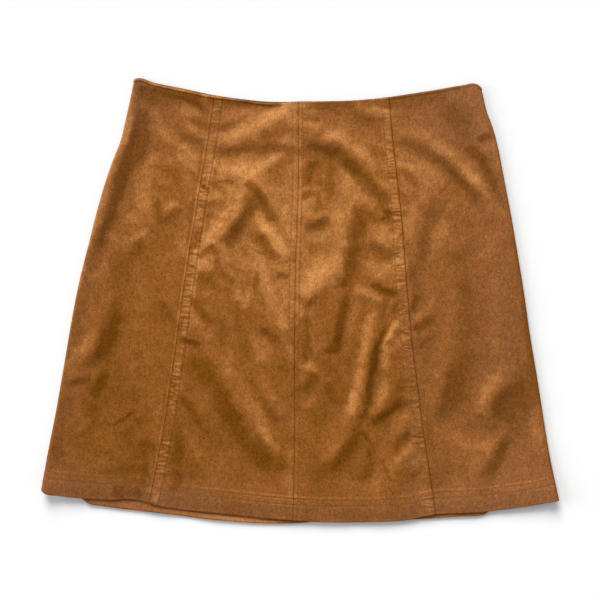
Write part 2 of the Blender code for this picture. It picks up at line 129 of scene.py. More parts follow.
# Folds of the front. Each runs through three points. Its cloth rises to the left of that run over twice the
# half width, stays up, and sinks again over the reach. The last column is the painted shade (below 0) on the
# flank turned from the light, or painted light (above 0) on the flank turned to it:
# x1, y1, x2, y2, x3, y3, half width, height, reach, shade
FOLDS = (
    # left side panel, from the waist down to the hip
    (-214,   36, -189,  122, -163,  202, 7.0, 1.9, 12, -.55),
    (-170,  222, -140,  217, -103,  203, 2.4, 0.9,  7, -.85),
    (-128,  177, -114,  169,  -99,  163, 3.2, 0.7,  9, -.45),
    (-118,  137, -111,  131, -103,  123, 2.5, 0.6,  6, -.40),
    (-147,   80, -150,   92, -151,  106, 3.2, 0.6,  7, -.65),
    (-146,   80, -136,   88, -123,   97, 3.8, 0.8,  7, -.45),
    # left side panel, from the hip down to the hem
    (-221,  -70, -203,  -42, -187,    6, 8.0, 2.2, 12, -.75),
    (-214,  -30, -228,  -54, -245,  -78, 6.0, 1.0, 10, .30),
    (-246,  -88, -234,  -86, -219,  -82, 4.0, 1.1,  8, -.60),
    (-220,  -99, -208,  -86, -200,  -60, 5.5, 1.1,  8, -.50),
    (-144,    2, -138,  -14, -129,  -31, 4.0, 0.9,  8, -.45),
    (-202, -134, -186, -126, -168, -111, 1.6, 0.7,  5, -.50),
    (-218, -120, -226, -129, -236, -139, 1.5, 0.4,  4, .35),
    (-169,  -63, -174,  -68, -180,  -74, 1.4, 0.4,  4, .35),
    (-165, -196, -163, -184, -163, -170, 1.6, 1.0,  7, -.90),
    (-190, -208, -190, -201, -190, -192, 4.5, 0.5,  5, -.80),
    (-171, -208, -170, -202, -170, -192, 2.6, 0.4,  4, -.80),
    # left centre panel: the swags under the waist
    (  -6,  204,  -42,  189,  -92,  170, 7.0, 1.5, 12, .45),
    ( -86,  180,  -76,  183,  -66,  187, 4.0, 0.7,  8, -.65),
    ( -38,  170,  -12,  178,   14,  177, 4.5, 0.5,  8, -.35),
    ( -96,  155,  -50,  159,    2,  160, 5.0, 1.3, 10, -.60),
    ( -42,  133,  -66,  140,  -94,  142, 7.0, 1.0, 12, .40),
    # the folds that fan out under them
    ( -58,  125,  -42,  110,  -30,   86, 4.2, 1.6,  9, -1.3),
    ( -36,   88,  -27,   84,  -20,   88, 2.4, 0.9,  5, -.40),
    ( -82,   57,  -63,   78,  -44,  114, 7.0, 2.4, 11, -1.0),
    ( -12,   44,  -26,   62,  -40,   86, 6.0, 0.9,  8, .45),
    ( -46,   74,  -36,   60,  -24,   42, 4.5, 1.3,  8, -.65),
    ( -58,   59,  -46,   53,  -34,   47, 1.3, 0.4,  4, -.35),
    ( -24,   27,  -18,   26,  -12,   25, 2.5, 0.8,  5, -.60),
    # the two long folds from the left princess seam to the middle of the hem
    (-113,    4, -104,  -11,  -92,  -28, 4.5, 1.5,  8, -.80),
    ( -26, -154,  -56,  -96, -100,  -34, 9.0, 1.3,  9, .30),
    (-126,  -41, -117,  -43, -106,  -49, 3.2, 0.9,  5, -1.1),
    (-108,  -54,  -82, -104,  -36, -168, 9.0, 2.0, 10, -.62),
    ( -54,  -78,  -39, -106,  -23, -131, 5.0, 1.2,  7, -.50),
    ( -38,  -28,  -32,  -37,  -20,  -46, 4.8, 1.1,  7, -.80),
    ( -15,  -30,  -25,   -8,  -37,   18, 5.5, 1.0,  8, .35),
    (-122, -100, -112, -119,  -98, -141, 3.5, 1.0,  9, -.65),
    (-136, -198, -129, -190, -129, -176, 3.2, 0.7,  5, -.80),
    # right centre panel: the swag from the centre seam to the right princess seam
    (   0,  163,   32,  158,   62,  137, 8.0, 2.6, 13, -.90),
    (  42,  149,   68,  127,   93,   98, 6.4, 2.1, 11, -1.0),
    (  84,  136,   58,  158,   18,  172, 5.0, 0.7,  8, .20),
    (   8,  118,   10,  133,   10,  147, 5.0, 1.0,  8, -1.0),
    (  30,  106,   30,  116,   31,  130, 3.0, 0.5,  6, -.20),
    (  19,   97,   20,  107,   20,  114, 2.0, 0.4,  5, -.45),
    (   3,   77,   17,   79,   32,   85, 5.0, 1.3,  8, -.90),
    (  68,   90,   78,   88,   87,   82, 4.5, 0.9,  6, -.60),
    (  84,   84,   91,   88,   96,   97, 5.0, 1.2,  6, -.80),
    (  72,   63,   84,   52,  100,   43, 5.5, 1.5,  9, -.70),
    (  54,  199,   68,  192,   88,  183, 6.5, 1.1, 10, -.70),
    # the long folds that run down it
    (  51,   12,   55,   52,   65,   98, 8.0, 2.6, 14, -.90),
    (  38,  -58,   43,  -26,   49,   12, 4.6, 2.2, 12, -1.0),
    (  42,   48,   20,   34,    2,    8, 9.0, 1.5, 14, .30),
    (   7,  -10,   12,   -2,   18,    7, 2.4, 0.8,  5, -.60),
    (  73,   19,   86,   13,  102,    3, 3.8, 1.5,  7, -.95),
    (  88,    1,   74,    7,   58,   14, 4.5, 1.1,  7, .50),
    (  86,  -20,   90,   -8,   96,    1, 3.5, 0.6,  6, -.60),
    (  99,  -16,  100,   -9,  101,   -2, 2.5, 0.6,  5, -.65),
    (  76,   -6,   65,  -60,   51, -120, 5.5, 2.1,  9, .55),
    (  69, -125,   76,  -72,   91,  -29, 4.5, 2.8,  9, -1.0),
    ( 104,  -21,   93,  -35,   84,  -54, 3.4, 1.6,  8, 1.1),
    (  92,  -60,   90,  -92,   75, -120, 6.5, 1.0,  8, .40),
    (  73, -129,   92, -119,  111, -101, 5.5, 1.8,  9, -.70),
    ( 118, -118,  105, -124,   92, -134, 6.0, 1.0,  8, .45),
    (  98, -156,  106, -148,  116, -139, 5.5, 1.0,  8, -.40),
    ( 119, -148,  110, -158,   99, -169, 4.2, 1.1,  7, .65),
    (  79, -167,   72, -154,   63, -141, 1.5, 0.5,  4, .65),
    (  82, -163,   90, -178,   98, -191, 1.7, 0.5,  4, -.70),
    (  24, -181,   44, -165,   62, -140, 7.0, 1.5, 10, -.50),
    (  11,  -26,   14,  -42,   18,  -60, 2.2, 0.6,  5, .50),
    (   4,  -98,   10,  -86,   16,  -74, 5.5, 1.1,  8, -.65),
    (  18,  -99,   10, -105,    1, -113, 4.0, 0.8,  6, .50),
    # right side panel: over the hip to the side
    ( 187,  165,  194,  170,  203,  173, 4.0, 1.2,  6, -1.3),
    ( 171,  161,  193,  141,  210,  102, 5.0, 1.6, 10, -.90),
    ( 196,  110,  163,  155,   99,  181, 7.0, 0.7, 10, .20),
    (  99,  170,  147,  145,  190,  100, 6.5, 1.8, 11, -.75),
    ( 104,  136,  114,  131,  122,  121, 3.5, 0.6,  7, -.50),
    ( 121,   18,  130,   64,  147,  112, 7.0, 1.6, 13, -.60),
    ( 146,  110,  152,  118,  159,  126, 1.3, 0.5,  3, -.40),
    ( 145,   90,  152,   98,  158,  108, 1.6, 0.5,  4, -.50),
    ( 119,  -15,  121,   -4,  124,    8, 3.4, 0.9,  6, -1.0),
    ( 120,  -34,  129,  -25,  142,  -17, 5.5, 1.2,  8, -.80),
    ( 124,  -52,  130,  -45,  138,  -36, 3.0, 0.5,  5, -.45),
    # and below the hip
    ( 144, -122,  161,  -94,  177,  -44, 12., 1.2, 16, -.32),
    ( 213,  -74,  198,  -88,  191, -124, 9.0, 1.4, 10, .50),
    ( 201, -127,  212, -105,  240,  -84, 8.5, 1.8, 12, -.55),
    ( 204, -156,  184, -150,  156, -138, 8.0, 0.8, 12, .20),
    ( 193, -192,  207, -165,  223, -142, 7.5, 1.9,  9, -.95))

# Painted shade and light laid in the colour without relief, for the smaller folds and creases, and partly
# brushed marks in the nap's own tone: x1, y1, x2, y2, half width, shade
PAINTED_SHADE_AND_NAP_MARKS = (
    # left side panel: painted shade inside the hip, painted light on its turned edge
    (-165, 196, -165, 172, 7, -1.0), (-167, 168, -174, 150, 9, -.95), (-182, 143, -192, 112, 7, -.90),
    (-196, 105, -208, 62, 7, -.60), (-211, 58, -217, 36, 6, -.30), (-177, 216, -181, 178, 5, .75),
    (-184, 170, -198, 132, 5, .90), (-202, 124, -221, 62, 5, .75), (-222, 54, -233, 10, 5, .35),
    (-167, 222, -110, 213, 4, -1.1), (-118, 212, -104, 203, 2, -.80), (-168, 210, -150, 206, 7, -.35),
    (-150, 197, -146, 178, 4, .35), (-122, 197, -105, 197, 4, .50), (-112, 188, -95, 184, 3, -.40),
    (-114, 182, -99, 174, 4, .45), (-142, 176, -122, 162, 5, .30), (-122, 158, -104, 148, 6, .40),
    (-108, 140, -101, 134, 4, .35), (-134, 137, -130, 128, 4, -.25), (-167, 118, -165, 102, 6, .50),
    (-158, 158, -158, 104, 4, .22), (-150, 150, -136, 146, 6, .15), (-138, 97, -131, 101, 4, .50),
    (-113, 98, -119, 58, 2, -.40), (-128, 64, -120, 52, 5, .25), (-178, 90, -172, 70, 10, .20),
    (-199, 72, -192, 60, 5, .25), (-181, 62, -166, 69, 4, .45), (-184, 34, -170, 56, 8, -.55),
    (-166, 52, -162, 44, 4, -.20), (-216, 26, -205, 36, 5, .40), (-196, 30, -186, 10, 10, -.35),
    (-164, 14, -158, -4, 7, .22), (-148, -6, -142, -18, 5, -.25),
    # and lower down it
    (-222, 4, -228, -24, 6, .20), (-205, -38, -208, -56, 6, -.35), (-230, -54, -240, -68, 6, .15),
    (-213, -64, -206, -74, 4, .30), (-207, -80, -211, -92, 7, -.20), (-176, -30, -168, -60, 10, .12),
    (-164, -50, -156, -62, 5, .30), (-206, -108, -218, -122, 5, -.15), (-153, -116, -155, -142, 7, .30),
    (-160, -128, -156, -150, 4, -.15), (-186, -140, -176, -154, 3, -.30), (-198, -180, -168, -181, 7, -.75),
    (-178, -184, -168, -184, 4, -.60), (-212, -180, -196, -182, 5, -.25), (-159, -172, -158, -182, 3, .30),
    (-218, -172, -204, -165, 3, .25), (-166, -150, -150, -154, 6, -.30), (-240, -170, -226, -186, 8, .10),
    (-156, -196, -148, -206, 6, .35),
    # left centre panel
    (-92, 210, -56, 206, 4, -1.0), (-56, 206, -22, 206, 3, -.95), (-80, 203, -76, 196, 2, -.30),
    (-60, 196, -44, 198, 4, .15), (-36, 190, -16, 201, 7, .40), (-84, 174, -60, 180, 6, .25),
    (-38, 176, -32, 166, 4, -.35), (-86, 133, -52, 136, 9, .30), (-56, 128, -40, 124, 6, .25),
    (-44, 140, -26, 149, 5, .60), (-34, 124, -22, 143, 7, -.25), (-94, 124, -72, 124, 2, -.40),
    (-104, 101, -90, 101, 3, -.50), (-100, 110, -84, 113, 4, .15), (-98, 66, -82, 86, 7, .60),
    (-102, 58, -98, 70, 4, .35), (-104, 48, -93, 56, 3, -.55), (-92, 55, -86, 42, 3, -.55),
    (-86, 40, -92, 28, 3, -.30), (-104, 36, -96, 34, 5, .45), (-44, 92, -36, 72, 5, .30),
    (-32, 70, -18, 54, 6, .35), (-20, 86, -14, 98, 3, .50), (-66, 98, -76, 108, 5, .15),
    (-64, 42, -56, 36, 6, .15), (-44, 34, -38, 30, 6, .25), (-10, 34, -12, 10, 7, .25),
    # and lower down it
    (-117, -6, -112, -30, 4, .15), (-108, -16, -98, -36, 8, .40), (-84, -50, -62, -86, 8, .20),
    (-58, -94, -38, -130, 8, .20), (-38, -138, -29, -152, 5, .50), (-25, -156, -13, -150, 3, .35),
    (-100, 24, -92, 16, 6, -.55), (-80, 28, -73, 20, 4, -.60), (-98, 2, -86, 0, 4, .20),
    (-88, -12, -80, -34, 7, -.30), (-82, -42, -79, -54, 3, -.45), (-66, -14, -66, -32, 4, -.30),
    (-60, -46, -52, -58, 5, -.25), (-50, -38, -42, -58, 6, .40), (-66, 8, -60, -4, 4, .45),
    (-58, -6, -52, 10, 4, .45), (-46, 8, -45, 28, 2, -.45), (-34, 20, -28, 6, 6, .20),
    (-22, -12, -17, -28, 5, .40), (-38, -88, -34, -96, 7, .50), (-27, -104, -20, -114, 7, .45),
    (-95, -76, -104, -66, 8, -.15), (-112, -62, -106, -84, 8, -.15), (-80, -106, -68, -134, 9, -.35),
    (-60, -146, -40, -166, 10, -.40), (-38, -170, -20, -172, 8, -.55), (-122, -104, -118, -92, 3, -.25),
    (-130, -180, -126, -148, 7, -.45), (-120, -142, -110, -158, 6, .35), (-5, -30, -4, -95, 3, -.40),
    (-106, -164, -95, -180, 6, .25), (-12, -160, -11, -200, 5, .35), (-90, -168, -76, -184, 8, .10),
    (-22, -48, -12, -56, 2, -.30), (-20, -60, -10, -66, 2, -.30), (-24, -70, -10, -76, 2, -.25),
    # right centre panel
    (8, 204, 50, 204, 5, -.65), (30, 202, 40, 196, 3, -.30), (62, 206, 82, 202, 4, .30),
    (6, 190, 16, 189, 3, -.40), (6, 184, 18, 182, 3, .45), (32, 176, 46, 170, 6, .40),
    (36, 190, 46, 182, 6, .15), (80, 158, 88, 155, 4, -.40), (62, 158, 78, 140, 5, .25),
    (10, 162, 44, 154, 4, -.30), (19, 146, 20, 124, 4, -.55), (45, 136, 50, 114, 5, .20),
    (62, 110, 82, 100, 6, .10), (5, 100, 13, 107, 3, .55), (7, 110, 11, 112, 3, -.40), (4, 96, 8, 92, 4, .15),
    (40, 88, 42, 60, 6, .20), (88, 72, 98, 66, 4, .35), (60, 92, 66, 84, 6, -.40), (8, 66, 10, 52, 4, -.20),
    (8, 18, 40, 34, 11, .45), (70, 34, 98, 26, 8, .25), (20, 52, 28, 46, 6, -.15),
    # and lower down it
    (2, 12, 6, 6, 5, .35), (6, -56, 5, -22, 5, -.50), (30, -55, 38, -47, 5, -.80), (2, -66, 13, -69, 5, .60),
    (8, -2, 22, -14, 6, -.15), (24, -82, 42, -100, 11, -.30), (16, -122, 34, -118, 8, -.20),
    (46, -118, 36, -150, 12, .40), (30, -152, 27, -168, 5, .12), (60, -138, 62, -124, 5, -.40),
    (60, -146, 44, -172, 9, -.30), (30, -170, 22, -186, 6, -.25), (66, -186, 76, -166, 6, -.50),
    (80, -198, 82, -180, 6, .42), (74, -204, 70, -192, 5, .20), (100, -198, 120, -184, 9, -.42),
    (60, -8, 66, -20, 6, -.20), (65, -78, 63, -106, 5, .40), (56, -36, 54, -66, 5, -.20),
    (92, -48, 94, -62, 6, .35), (99, -36, 102, -46, 4, .40), (89, -80, 88, -98, 6, .10),
    (98, -58, 112, -60, 3, -.45), (104, -94, 114, -82, 5, -.40), (104, -106, 114, -108, 5, -.55),
    (98, -122, 116, -130, 5, .30), (112, -140, 108, -150, 5, -.20), (92, -172, 102, -162, 5, .35),
    (106, -170, 118, -172, 5, .35), (4, -150, 16, -158, 8, -.20), (20, -196, 40, -190, 8, -.15),
    (60, -4, 54, -30, 4, .20),
    # right side panel
    (100, 209, 150, 217, 6, -.50), (104, 203, 128, 205, 2, -.35), (146, 206, 170, 190, 12, -.45),
    (160, 196, 178, 170, 10, -.50), (166, 214, 182, 207, 5, .35), (102, 196, 124, 190, 6, .15),
    (188, 158, 203, 163, 5, .65), (204, 156, 209, 140, 3, .35), (182, 156, 190, 148, 5, -.45),
    (104, 179, 138, 168, 5, .12), (162, 130, 180, 108, 6, -.20), (184, 126, 200, 98, 6, .35),
    (102, 156, 134, 146, 5, .25), (104, 143, 146, 132, 8, .35), (122, 128, 140, 116, 6, .15),
    (104, 124, 111, 116, 5, .35), (184, 112, 190, 100, 8, -.35), (136, 98, 142, 90, 6, -.15),
    (106, 110, 112, 102, 4, -.30), (142, 62, 153, 84, 7, .45), (112, 96, 116, 68, 5, .30),
    (164, 42, 176, 54, 7, -.50), (192, 42, 204, 72, 9, .25), (210, 48, 222, 64, 6, -.30),
    (170, 84, 176, 76, 5, -.20), (202, 128, 214, 96, 3, -.25), (184, 20, 190, 36, 8, -.12),
    # and lower down it
    (123, -16, 136, 0, 4, .30), (142, 14, 140, -4, 5, .15), (158, 8, 157, -28, 4, .28),
    (170, 12, 176, -30, 8, -.40), (172, 26, 178, 4, 4, -.25), (202, 16, 205, -62, 7, .38),
    (226, -10, 232, -40, 5, -.15), (150, -34, 144, -50, 6, .18), (145, -62, 142, -108, 7, .38),
    (176, -46, 164, -92, 13, -.32), (158, -100, 146, -120, 9, -.35), (203, -84, 193, -116, 9, .25),
    (214, -72, 224, -70, 4, .30), (240, -88, 214, -100, 11, -.40), (210, -108, 234, -112, 13, -.50),
    (244, -92, 240, -106, 7, -.35), (206, -112, 212, -108, 5, -.35), (188, -126, 202, -134, 5, -.45),
    (222, -126, 230, -138, 7, -.25), (158, -138, 200, -155, 8, .25), (174, -160, 186, -180, 8, .22),
    (251, -114, 247, -148, 7, .60), (218, -158, 246, -196, 14, .20), (162, -184, 170, -200, 5, .50),
    (140, -190, 156, -182, 7, -.42), (134, -204, 136, -216, 4, .50), (152, -206, 158, -216, 4, .30),
    (192, -198, 200, -212, 6, -.30), (224, -202, 226, -212, 1, -.40), (146, -150, 150, -164, 6, -.15),
    # smaller marks, left half
    (-172, 168, -170, 152, 6, -.50), (-160, 214, -145, 206, 7, -.40), (-108, 212, -98, 202, 4, -.60),
    (-93, 182, -80, 176, 6, -.60), (-90, 136, -90, 122, 5, -.40), (-107, 76, -106, 58, 4, -.50),
    (-114, 50, -108, 66, 4, -.45), (-74, 168, -42, 180, 6, .45), (-78, 196, -60, 196, 4, .35),
    (-16, 202, -6, 186, 7, .28), (-20, 128, -18, 142, 5, -.35), (-54, 74, -40, 66, 8, -.30),
    (-48, 52, -40, 42, 6, .45), (-108, 42, -88, 42, 5, .60), (-108, 36, -113, 6, 3, .50),
    (-74, 116, -64, 112, 4, .40), (-78, 92, -66, 86, 5, .40), (-218, 32, -203, 54, 6, .35),
    (-178, 84, -160, 90, 8, .20), (-176, 120, -172, 120, 4, -.35), (-140, 170, -134, 158, 5, .30),
    (-184, 166, -177, 188, 4, .75), (-126, 150, -136, 148, 4, .20), (-54, 104, -44, 100, 5, -.30),
    (-188, -24, -170, -50, 10, -.28), (-195, -40, -190, -62, 8, -.32), (-234, -50, -246, -74, 5, .40),
    (-226, -90, -210, -125, 10, -.22), (-196, -152, -182, -160, 7, .25), (-164, -160, -160, -176, 4, -.25),
    (-178, -184, -166, -185, 4, -.80), (-182, -194, -178, -198, 5, -.25), (-126, -34, -130, -52, 4, -.30),
    (-127, -68, -129, -76, 3, .45), (-132, -84, -133, -96, 4, -.30), (-131, -102, -132, -116, 2, .50),
    (-145, -130, -150, -170, 3, .30), (-142, -176, -126, -176, 4, .40), (-148, -194, -152, -210, 4, .50),
    (-90, -50, -78, -56, 4, -.25), (-66, -72, -56, -82, 5, -.30), (-80, -74, -74, -90, 4, .30),
    (-68, -100, -54, -126, 5, .28), (-58, -132, -48, -152, 6, .30), (-34, -2, -28, -20, 5, .40),
    (-20, -44, -6, -60, 6, .40), (-38, -38, -34, -62, 4, .40), (-14, -2, -3, -6, 5, .40),
    (-20, -78, -18, -92, 4, .30), (-61, -5, -60, -9, 4, -.40), (-4, -44, -4, -92, 3, .10),
    (-170, 168, -180, 148, 7, -.70), (-166, 192, -166, 178, 4, -.35), (-162, 217, -128, 210, 7, -.35),
    (-117, 208, -103, 200, 3, -.80), (-105, 146, -104, 134, 3, -.40), (-91, 145, -96, 120, 2, .50),
    (-103, 160, -99, 112, 4, -.25), (-98, 86, -100, 60, 2, -.40), (-94, 88, -76, 86, 3, -.50),
    (-117, 80, -120, 60, 2, .45), (-103, 57, -92, 60, 4, .35), (-14, 156, -9, 146, 4, -.45),
    (-34, 87, -20, 88, 3, -.35), (-18, 86, -6, 70, 6, .25), (-124, 150, -108, 132, 4, .30),
    (-104, 2, -88, 0, 4, -.50), (-122, -18, -124, -38, 2, -.40), (-29, -40, -29, -54, 2, .35),
    (-10, 10, -8, -60, 8, .20), (-94, -122, -90, -150, 8, -.25), (-146, -110, -150, -126, 3, .40),
    (-144, -186, -150, -208, 2, .40), (-256, -160, -240, -178, 8, -.30), (-168, -138, -150, -138, 6, .30),
    (-16, 166, -2, 164, 4, .35), (-158, -184, -148, -196, 4, -.45), (-222, -112, -200, -92, 8, -.22),
    (-242, -46, -247, -76, 3, -.35), (-181, 188, -184, 166, 4, .30), (-97, 108, -84, 109, 4, .45),
    (-105, 50, -102, 44, 4, .45), (-214, 80, -198, 110, 7, .28), (-97, 213, -82, 211, 2, .70),
    # smaller marks, right half
    (2, 156, 14, 146, 7, -.45), (31, 148, 31, 116, 5, -.50), (60, 122, 84, 102, 4, -.30),
    (90, 96, 110, 92, 4, -.60), (92, 81, 95, 74, 3, -.60), (67, 78, 66, 52, 3, -.30),
    (68, 205, 92, 205, 4, -.60), (66, 200, 92, 195, 5, .55), (2, 204, 12, 200, 5, .40),
    (90, 160, 91, 138, 4, .35), (30, 168, 48, 180, 6, .30), (70, 168, 82, 164, 4, .25),
    (148, 162, 178, 130, 7, .42), (168, 138, 200, 112, 5, .45), (208, 146, 214, 124, 4, .35),
    (160, 97, 170, 92, 6, .30), (113, 60, 114, 50, 3, -.20), (129, 60, 131, 44, 4, -.35),
    (182, 50, 212, 50, 10, .20), (46, 60, 46, 46, 5, .40), (72, 25, 80, 23, 4, .20), (92, 38, 98, 42, 4, .40),
    (12, 70, 24, 66, 5, .30), (168, 162, 178, 156, 5, -.30), (184, 157, 196, 150, 5, -.40),
    (162, 218, 182, 214, 5, -.40), (186, 208, 190, 202, 4, -.30), (8, 110, 16, 98, 6, -.25),
    (60, 92, 70, 98, 6, -.25), (222, 60, 230, 10, 8, -.20), (24, 4, 32, -28, 8, -.35),
    (74, -14, 64, -26, 4, .30), (96, -1, 90, -12, 3, .80), (-4, -64, 4, -62, 4, -.60),
    (96, -38, 86, -74, 4, .30), (97, -62, 96, -86, 4, -.45), (96, -100, 87, -116, 5, -.45),
    (68, -140, 74, -160, 3, -.75), (102, -158, 108, -168, 4, -.50), (118, -162, 134, -170, 5, .30),
    (84, -168, 98, -196, 8, .35), (96, -126, 112, -127, 4, -.30), (104, -134, 115, -134, 4, .30),
    (114, -142, 124, -148, 4, -.40), (138, -58, 154, -74, 6, -.42), (154, -148, 192, -162, 9, .28),
    (186, -126, 198, -120, 4, .40), (212, -112, 214, -140, 9, -.35), (212, -152, 215, -170, 6, -.30),
    (164, -212, 198, -210, 8, .35), (228, -206, 256, -206, 6, .30), (106, 4, 110, -14, 4, -.40),
    (106, -34, 118, -44, 5, -.25), (126, 14, 130, -10, 4, -.20), (8, 106, 18, 112, 4, -.50),
    (44, 140, 38, 124, 4, -.20), (76, 128, 88, 118, 4, .30), (80, 97, 90, 95, 3, -.50),
    (98, 132, 104, 122, 4, -.40), (104, 142, 116, 140, 4, .40), (126, 98, 130, 88, 4, -.60),
    (86, 88, 92, 78, 4, .50), (50, 60, 64, 64, 4, .40), (4, 24, 8, 12, 4, -.20), (12, 10, 30, 20, 8, .35),
    (118, 30, 122, 4, 4, -.45), (170, 152, 190, 154, 5, -.30), (156, 85, 160, 74, 4, -.40),
    (200, 150, 214, 110, 5, .25), (6, -12, 13, -50, 4, -.45), (89, -76, 93, -79, 3, -.60),
    (52, -93, 60, -98, 4, -.40), (56, -100, 52, -114, 5, .65), (30, -95, 46, -112, 6, -.45),
    (18, -74, 26, -82, 4, .55), (40, -74, 56, -76, 4, -.30), (106, -72, 116, -66, 3, -.55),
    (106, -92, 118, -93, 3, -.50), (17, -128, 19, -145, 3, -.50), (106, -168, 120, -170, 4, .30),
    (98, -175, 96, -190, 4, .40), (116, -134, 126, -142, 5, -.40), (136, -122, 137, -162, 3, -.40),
    (120, -186, 136, -196, 5, -.35), (210, -112, 226, -130, 9, -.25), (246, -109, 256, -107, 3, -.50),
    (224, -78, 236, -70, 5, -.40), (236, 0, 246, -90, 4, -.30), (152, -160, 178, -172, 10, .22),
    (-12, 206, 16, 206, 3, .60), (236, -6, 248, -96, 5, -.25), (36, 24, 46, 18, 4, -.35),
    (108, 50, 112, 36, 4, .35), (86, 28, 96, 38, 4, .35), (88, -52, 86, -66, 4, .40),
    (76, -76, 74, -92, 3, .35), (84, -30, 97, -31, 4, -.35), (86, -47, 96, -45, 3, -.45),
    (2, -15, 8, -15, 4, .35), (200, -108, 210, -98, 6, .22), (0, -226, 64, -227, 4, .25))


# Curves and unevenness

def through(table_x, table_y, x):
    """Smooth curve through a table's points: cubics whose end slopes come from the points round them."""
    slope = np.gradient(table_y, table_x)
    k = np.clip(np.searchsorted(table_x, x) - 1, 0, len(table_x) - 2)
    step = table_x[k + 1] - table_x[k]
    t = np.clip((x - table_x[k]) / step, 0.0, 1.0)
    return ((2 * t**3 - 3 * t**2 + 1) * table_y[k] + (t**3 - 2 * t**2 + t) * step * slope[k]
            + (3 * t**2 - 2 * t**3) * table_y[k + 1] + (t**3 - t**2) * step * slope[k + 1])


def ease(t):
    """0 below 0, 1 above 1, and between them 3 t^2 - 2 t^3."""
    t = np.clip(t, 0.0, 1.0)
    return t * t * (3 - 2 * t)


def uneven_line(s, wave, seed):
    """Uneven wave along one length: six sines summed, of lengths round `wave`, scaled to about 1."""
    rng = np.random.default_rng(seed)
    length, start = wave * rng.uniform(0.6, 1.7, 6), rng.uniform(0, 2 * np.pi, 6)
    return np.sin(2 * np.pi * s[..., None] / length + start).sum(-1) / 2.4


def uneven_field(x, y, wave, seed):
    """Uneven waves over the cloth: the sum of ten straight waves in all directions, scaled to about 1."""
    rng = np.random.default_rng(seed)
    total = np.zeros_like(x)
    for _ in range(10):
        way, length, start = rng.uniform(0, np.pi), wave * rng.uniform(0.7, 1.5), rng.uniform(0, 2 * np.pi)
        total += np.sin(2 * np.pi * (x * math.cos(way) + y * math.sin(way)) / length + start)
    return total / 3.2


def beside_run(x, y, run):
    """Place beside a run through three points: distance from it, positive to its left, and share along it.

    The run is the quadratic through its points, taken as eight straight bits."""
    x1, y1, x2, y2, x3, y3 = run
    t = np.linspace(0.0, 1.0, 9)
    first, middle, last = (1 - t) * (1 - 2 * t), 4 * t * (1 - t), t * (2 * t - 1)
    path_x, path_y = first * x1 + middle * x2 + last * x3, first * y1 + middle * y2 + last * y3
    nearest, side, along = np.full_like(x, np.inf), np.zeros_like(x), np.zeros_like(x)
    for k in range(len(t) - 1):
        run_x, run_y = path_x[k + 1] - path_x[k], path_y[k + 1] - path_y[k]
        away_x, away_y = x - path_x[k], y - path_y[k]
        part = np.clip((away_x * run_x + away_y * run_y) / (run_x**2 + run_y**2), 0.0, 1.0)
        distance = np.hypot(away_x - part * run_x, away_y - part * run_y)
        closer = distance < nearest
        nearest = np.where(closer, distance, nearest)
        side = np.where(closer, np.sign(run_x * away_y - run_y * away_x), side)
        along = np.where(closer, t[k] + part / 8, along)
    return nearest * side, along


def near(x, y, run, reach):
    """Which points lie in the run's box, let out by its reach."""
    xs, ys = run[0::2], run[1::2]
    return ((x > min(xs) - reach) & (x < max(xs) + reach) & (y > min(ys) - reach) & (y < max(ys) + reach))


# The cut and how it lies

def seam_x(seam, down):
    """Where a seam runs, by the share of the way down."""
    return through(SEAMS[:, 0], SEAMS[:, seam], down)


def waist_y(x, layer):
    """Waist edge of a layer: the front's, with the back's further up by the table's last column."""
    edge = through(WAIST[:, 0], WAIST[:, 1], x)
    return edge + through(WAIST[:, 0], WAIST[:, 2], x) if layer == "back" else edge


def hem_y(x, layer):
    """Hem edge of a layer."""
    table = BACK_HEM if layer == "back" else FRONT_HEM
    return through(table[:, 0], table[:, 1], x)


def strip_width(seam, down):
    """Width of a princess seam's strip. Other seams keep the width that their columns are given for."""
    if seam in (LEFT_PRINCESS, RIGHT_PRINCESS):
        return through(STRIPS[:, 0], STRIPS[:, 1 if seam == LEFT_PRINCESS else 2], down)
    return STRIP * np.ones_like(down)


def turned_up(x, y, layer, clear=0.0, ramp=TURN_UP_RAMP):
    """1 in the hem's turn-up and 0 above it, by height above that layer's hem edge."""
    return 1 - ease((y - hem_y(x, layer) - TURN_UP - clear) / ramp)


def fold_field(x, y):
    """Height of the folds, and the painted shade and light of the folds and of the smaller marks.

    Across its run a fold is a smooth step up over twice its half width, then a bell's far side over its
    reach. Along it, height and shade go as 1 - (2t - 1)^4. The runs are bent by a slow uneven field, so that
    none is drawn true."""
    bent_x = x + 1.0 * uneven_field(x, y, 34.0, 11) + 0.5 * uneven_field(x, y, 11.0, 12)
    bent_y = y + 1.0 * uneven_field(x, y, 34.0, 13) + 0.5 * uneven_field(x, y, 11.0, 14)
    height, shade = np.zeros_like(x), np.zeros_like(x)
    for *run, half, rise, reach, tone in FOLDS:
        here = near(bent_x, bent_y, run, 2.6 * reach + half)
        side, along = beside_run(bent_x[here], bent_y[here], run)
        arch = 1 - (2 * along - 1)**4
        step = ease((side + half) / (2 * half)) * np.exp(-(np.maximum(side - half, 0) / reach)**2)
        height[here] += FOLD_SHARE * rise * arch * step
        shade[here] += tone * arch * np.exp(-np.abs(side / (1.15 * half))**3)
    # The smaller marks: painted shade and light with no relief, partly brushed marks in the nap.
    for x1, y1, x2, y2, half, tone in PAINTED_SHADE_AND_NAP_MARKS:
        run = (x1, y1, (x1 + x2) / 2, (y1 + y2) / 2, x2, y2)
        here = near(bent_x, bent_y, run, 2.6 * half)
        side, _ = beside_run(bent_x[here], bent_y[here], run)
        shade[here] += tone * np.exp(-np.abs(side / (1.1 * half))**3)
    return height, shade


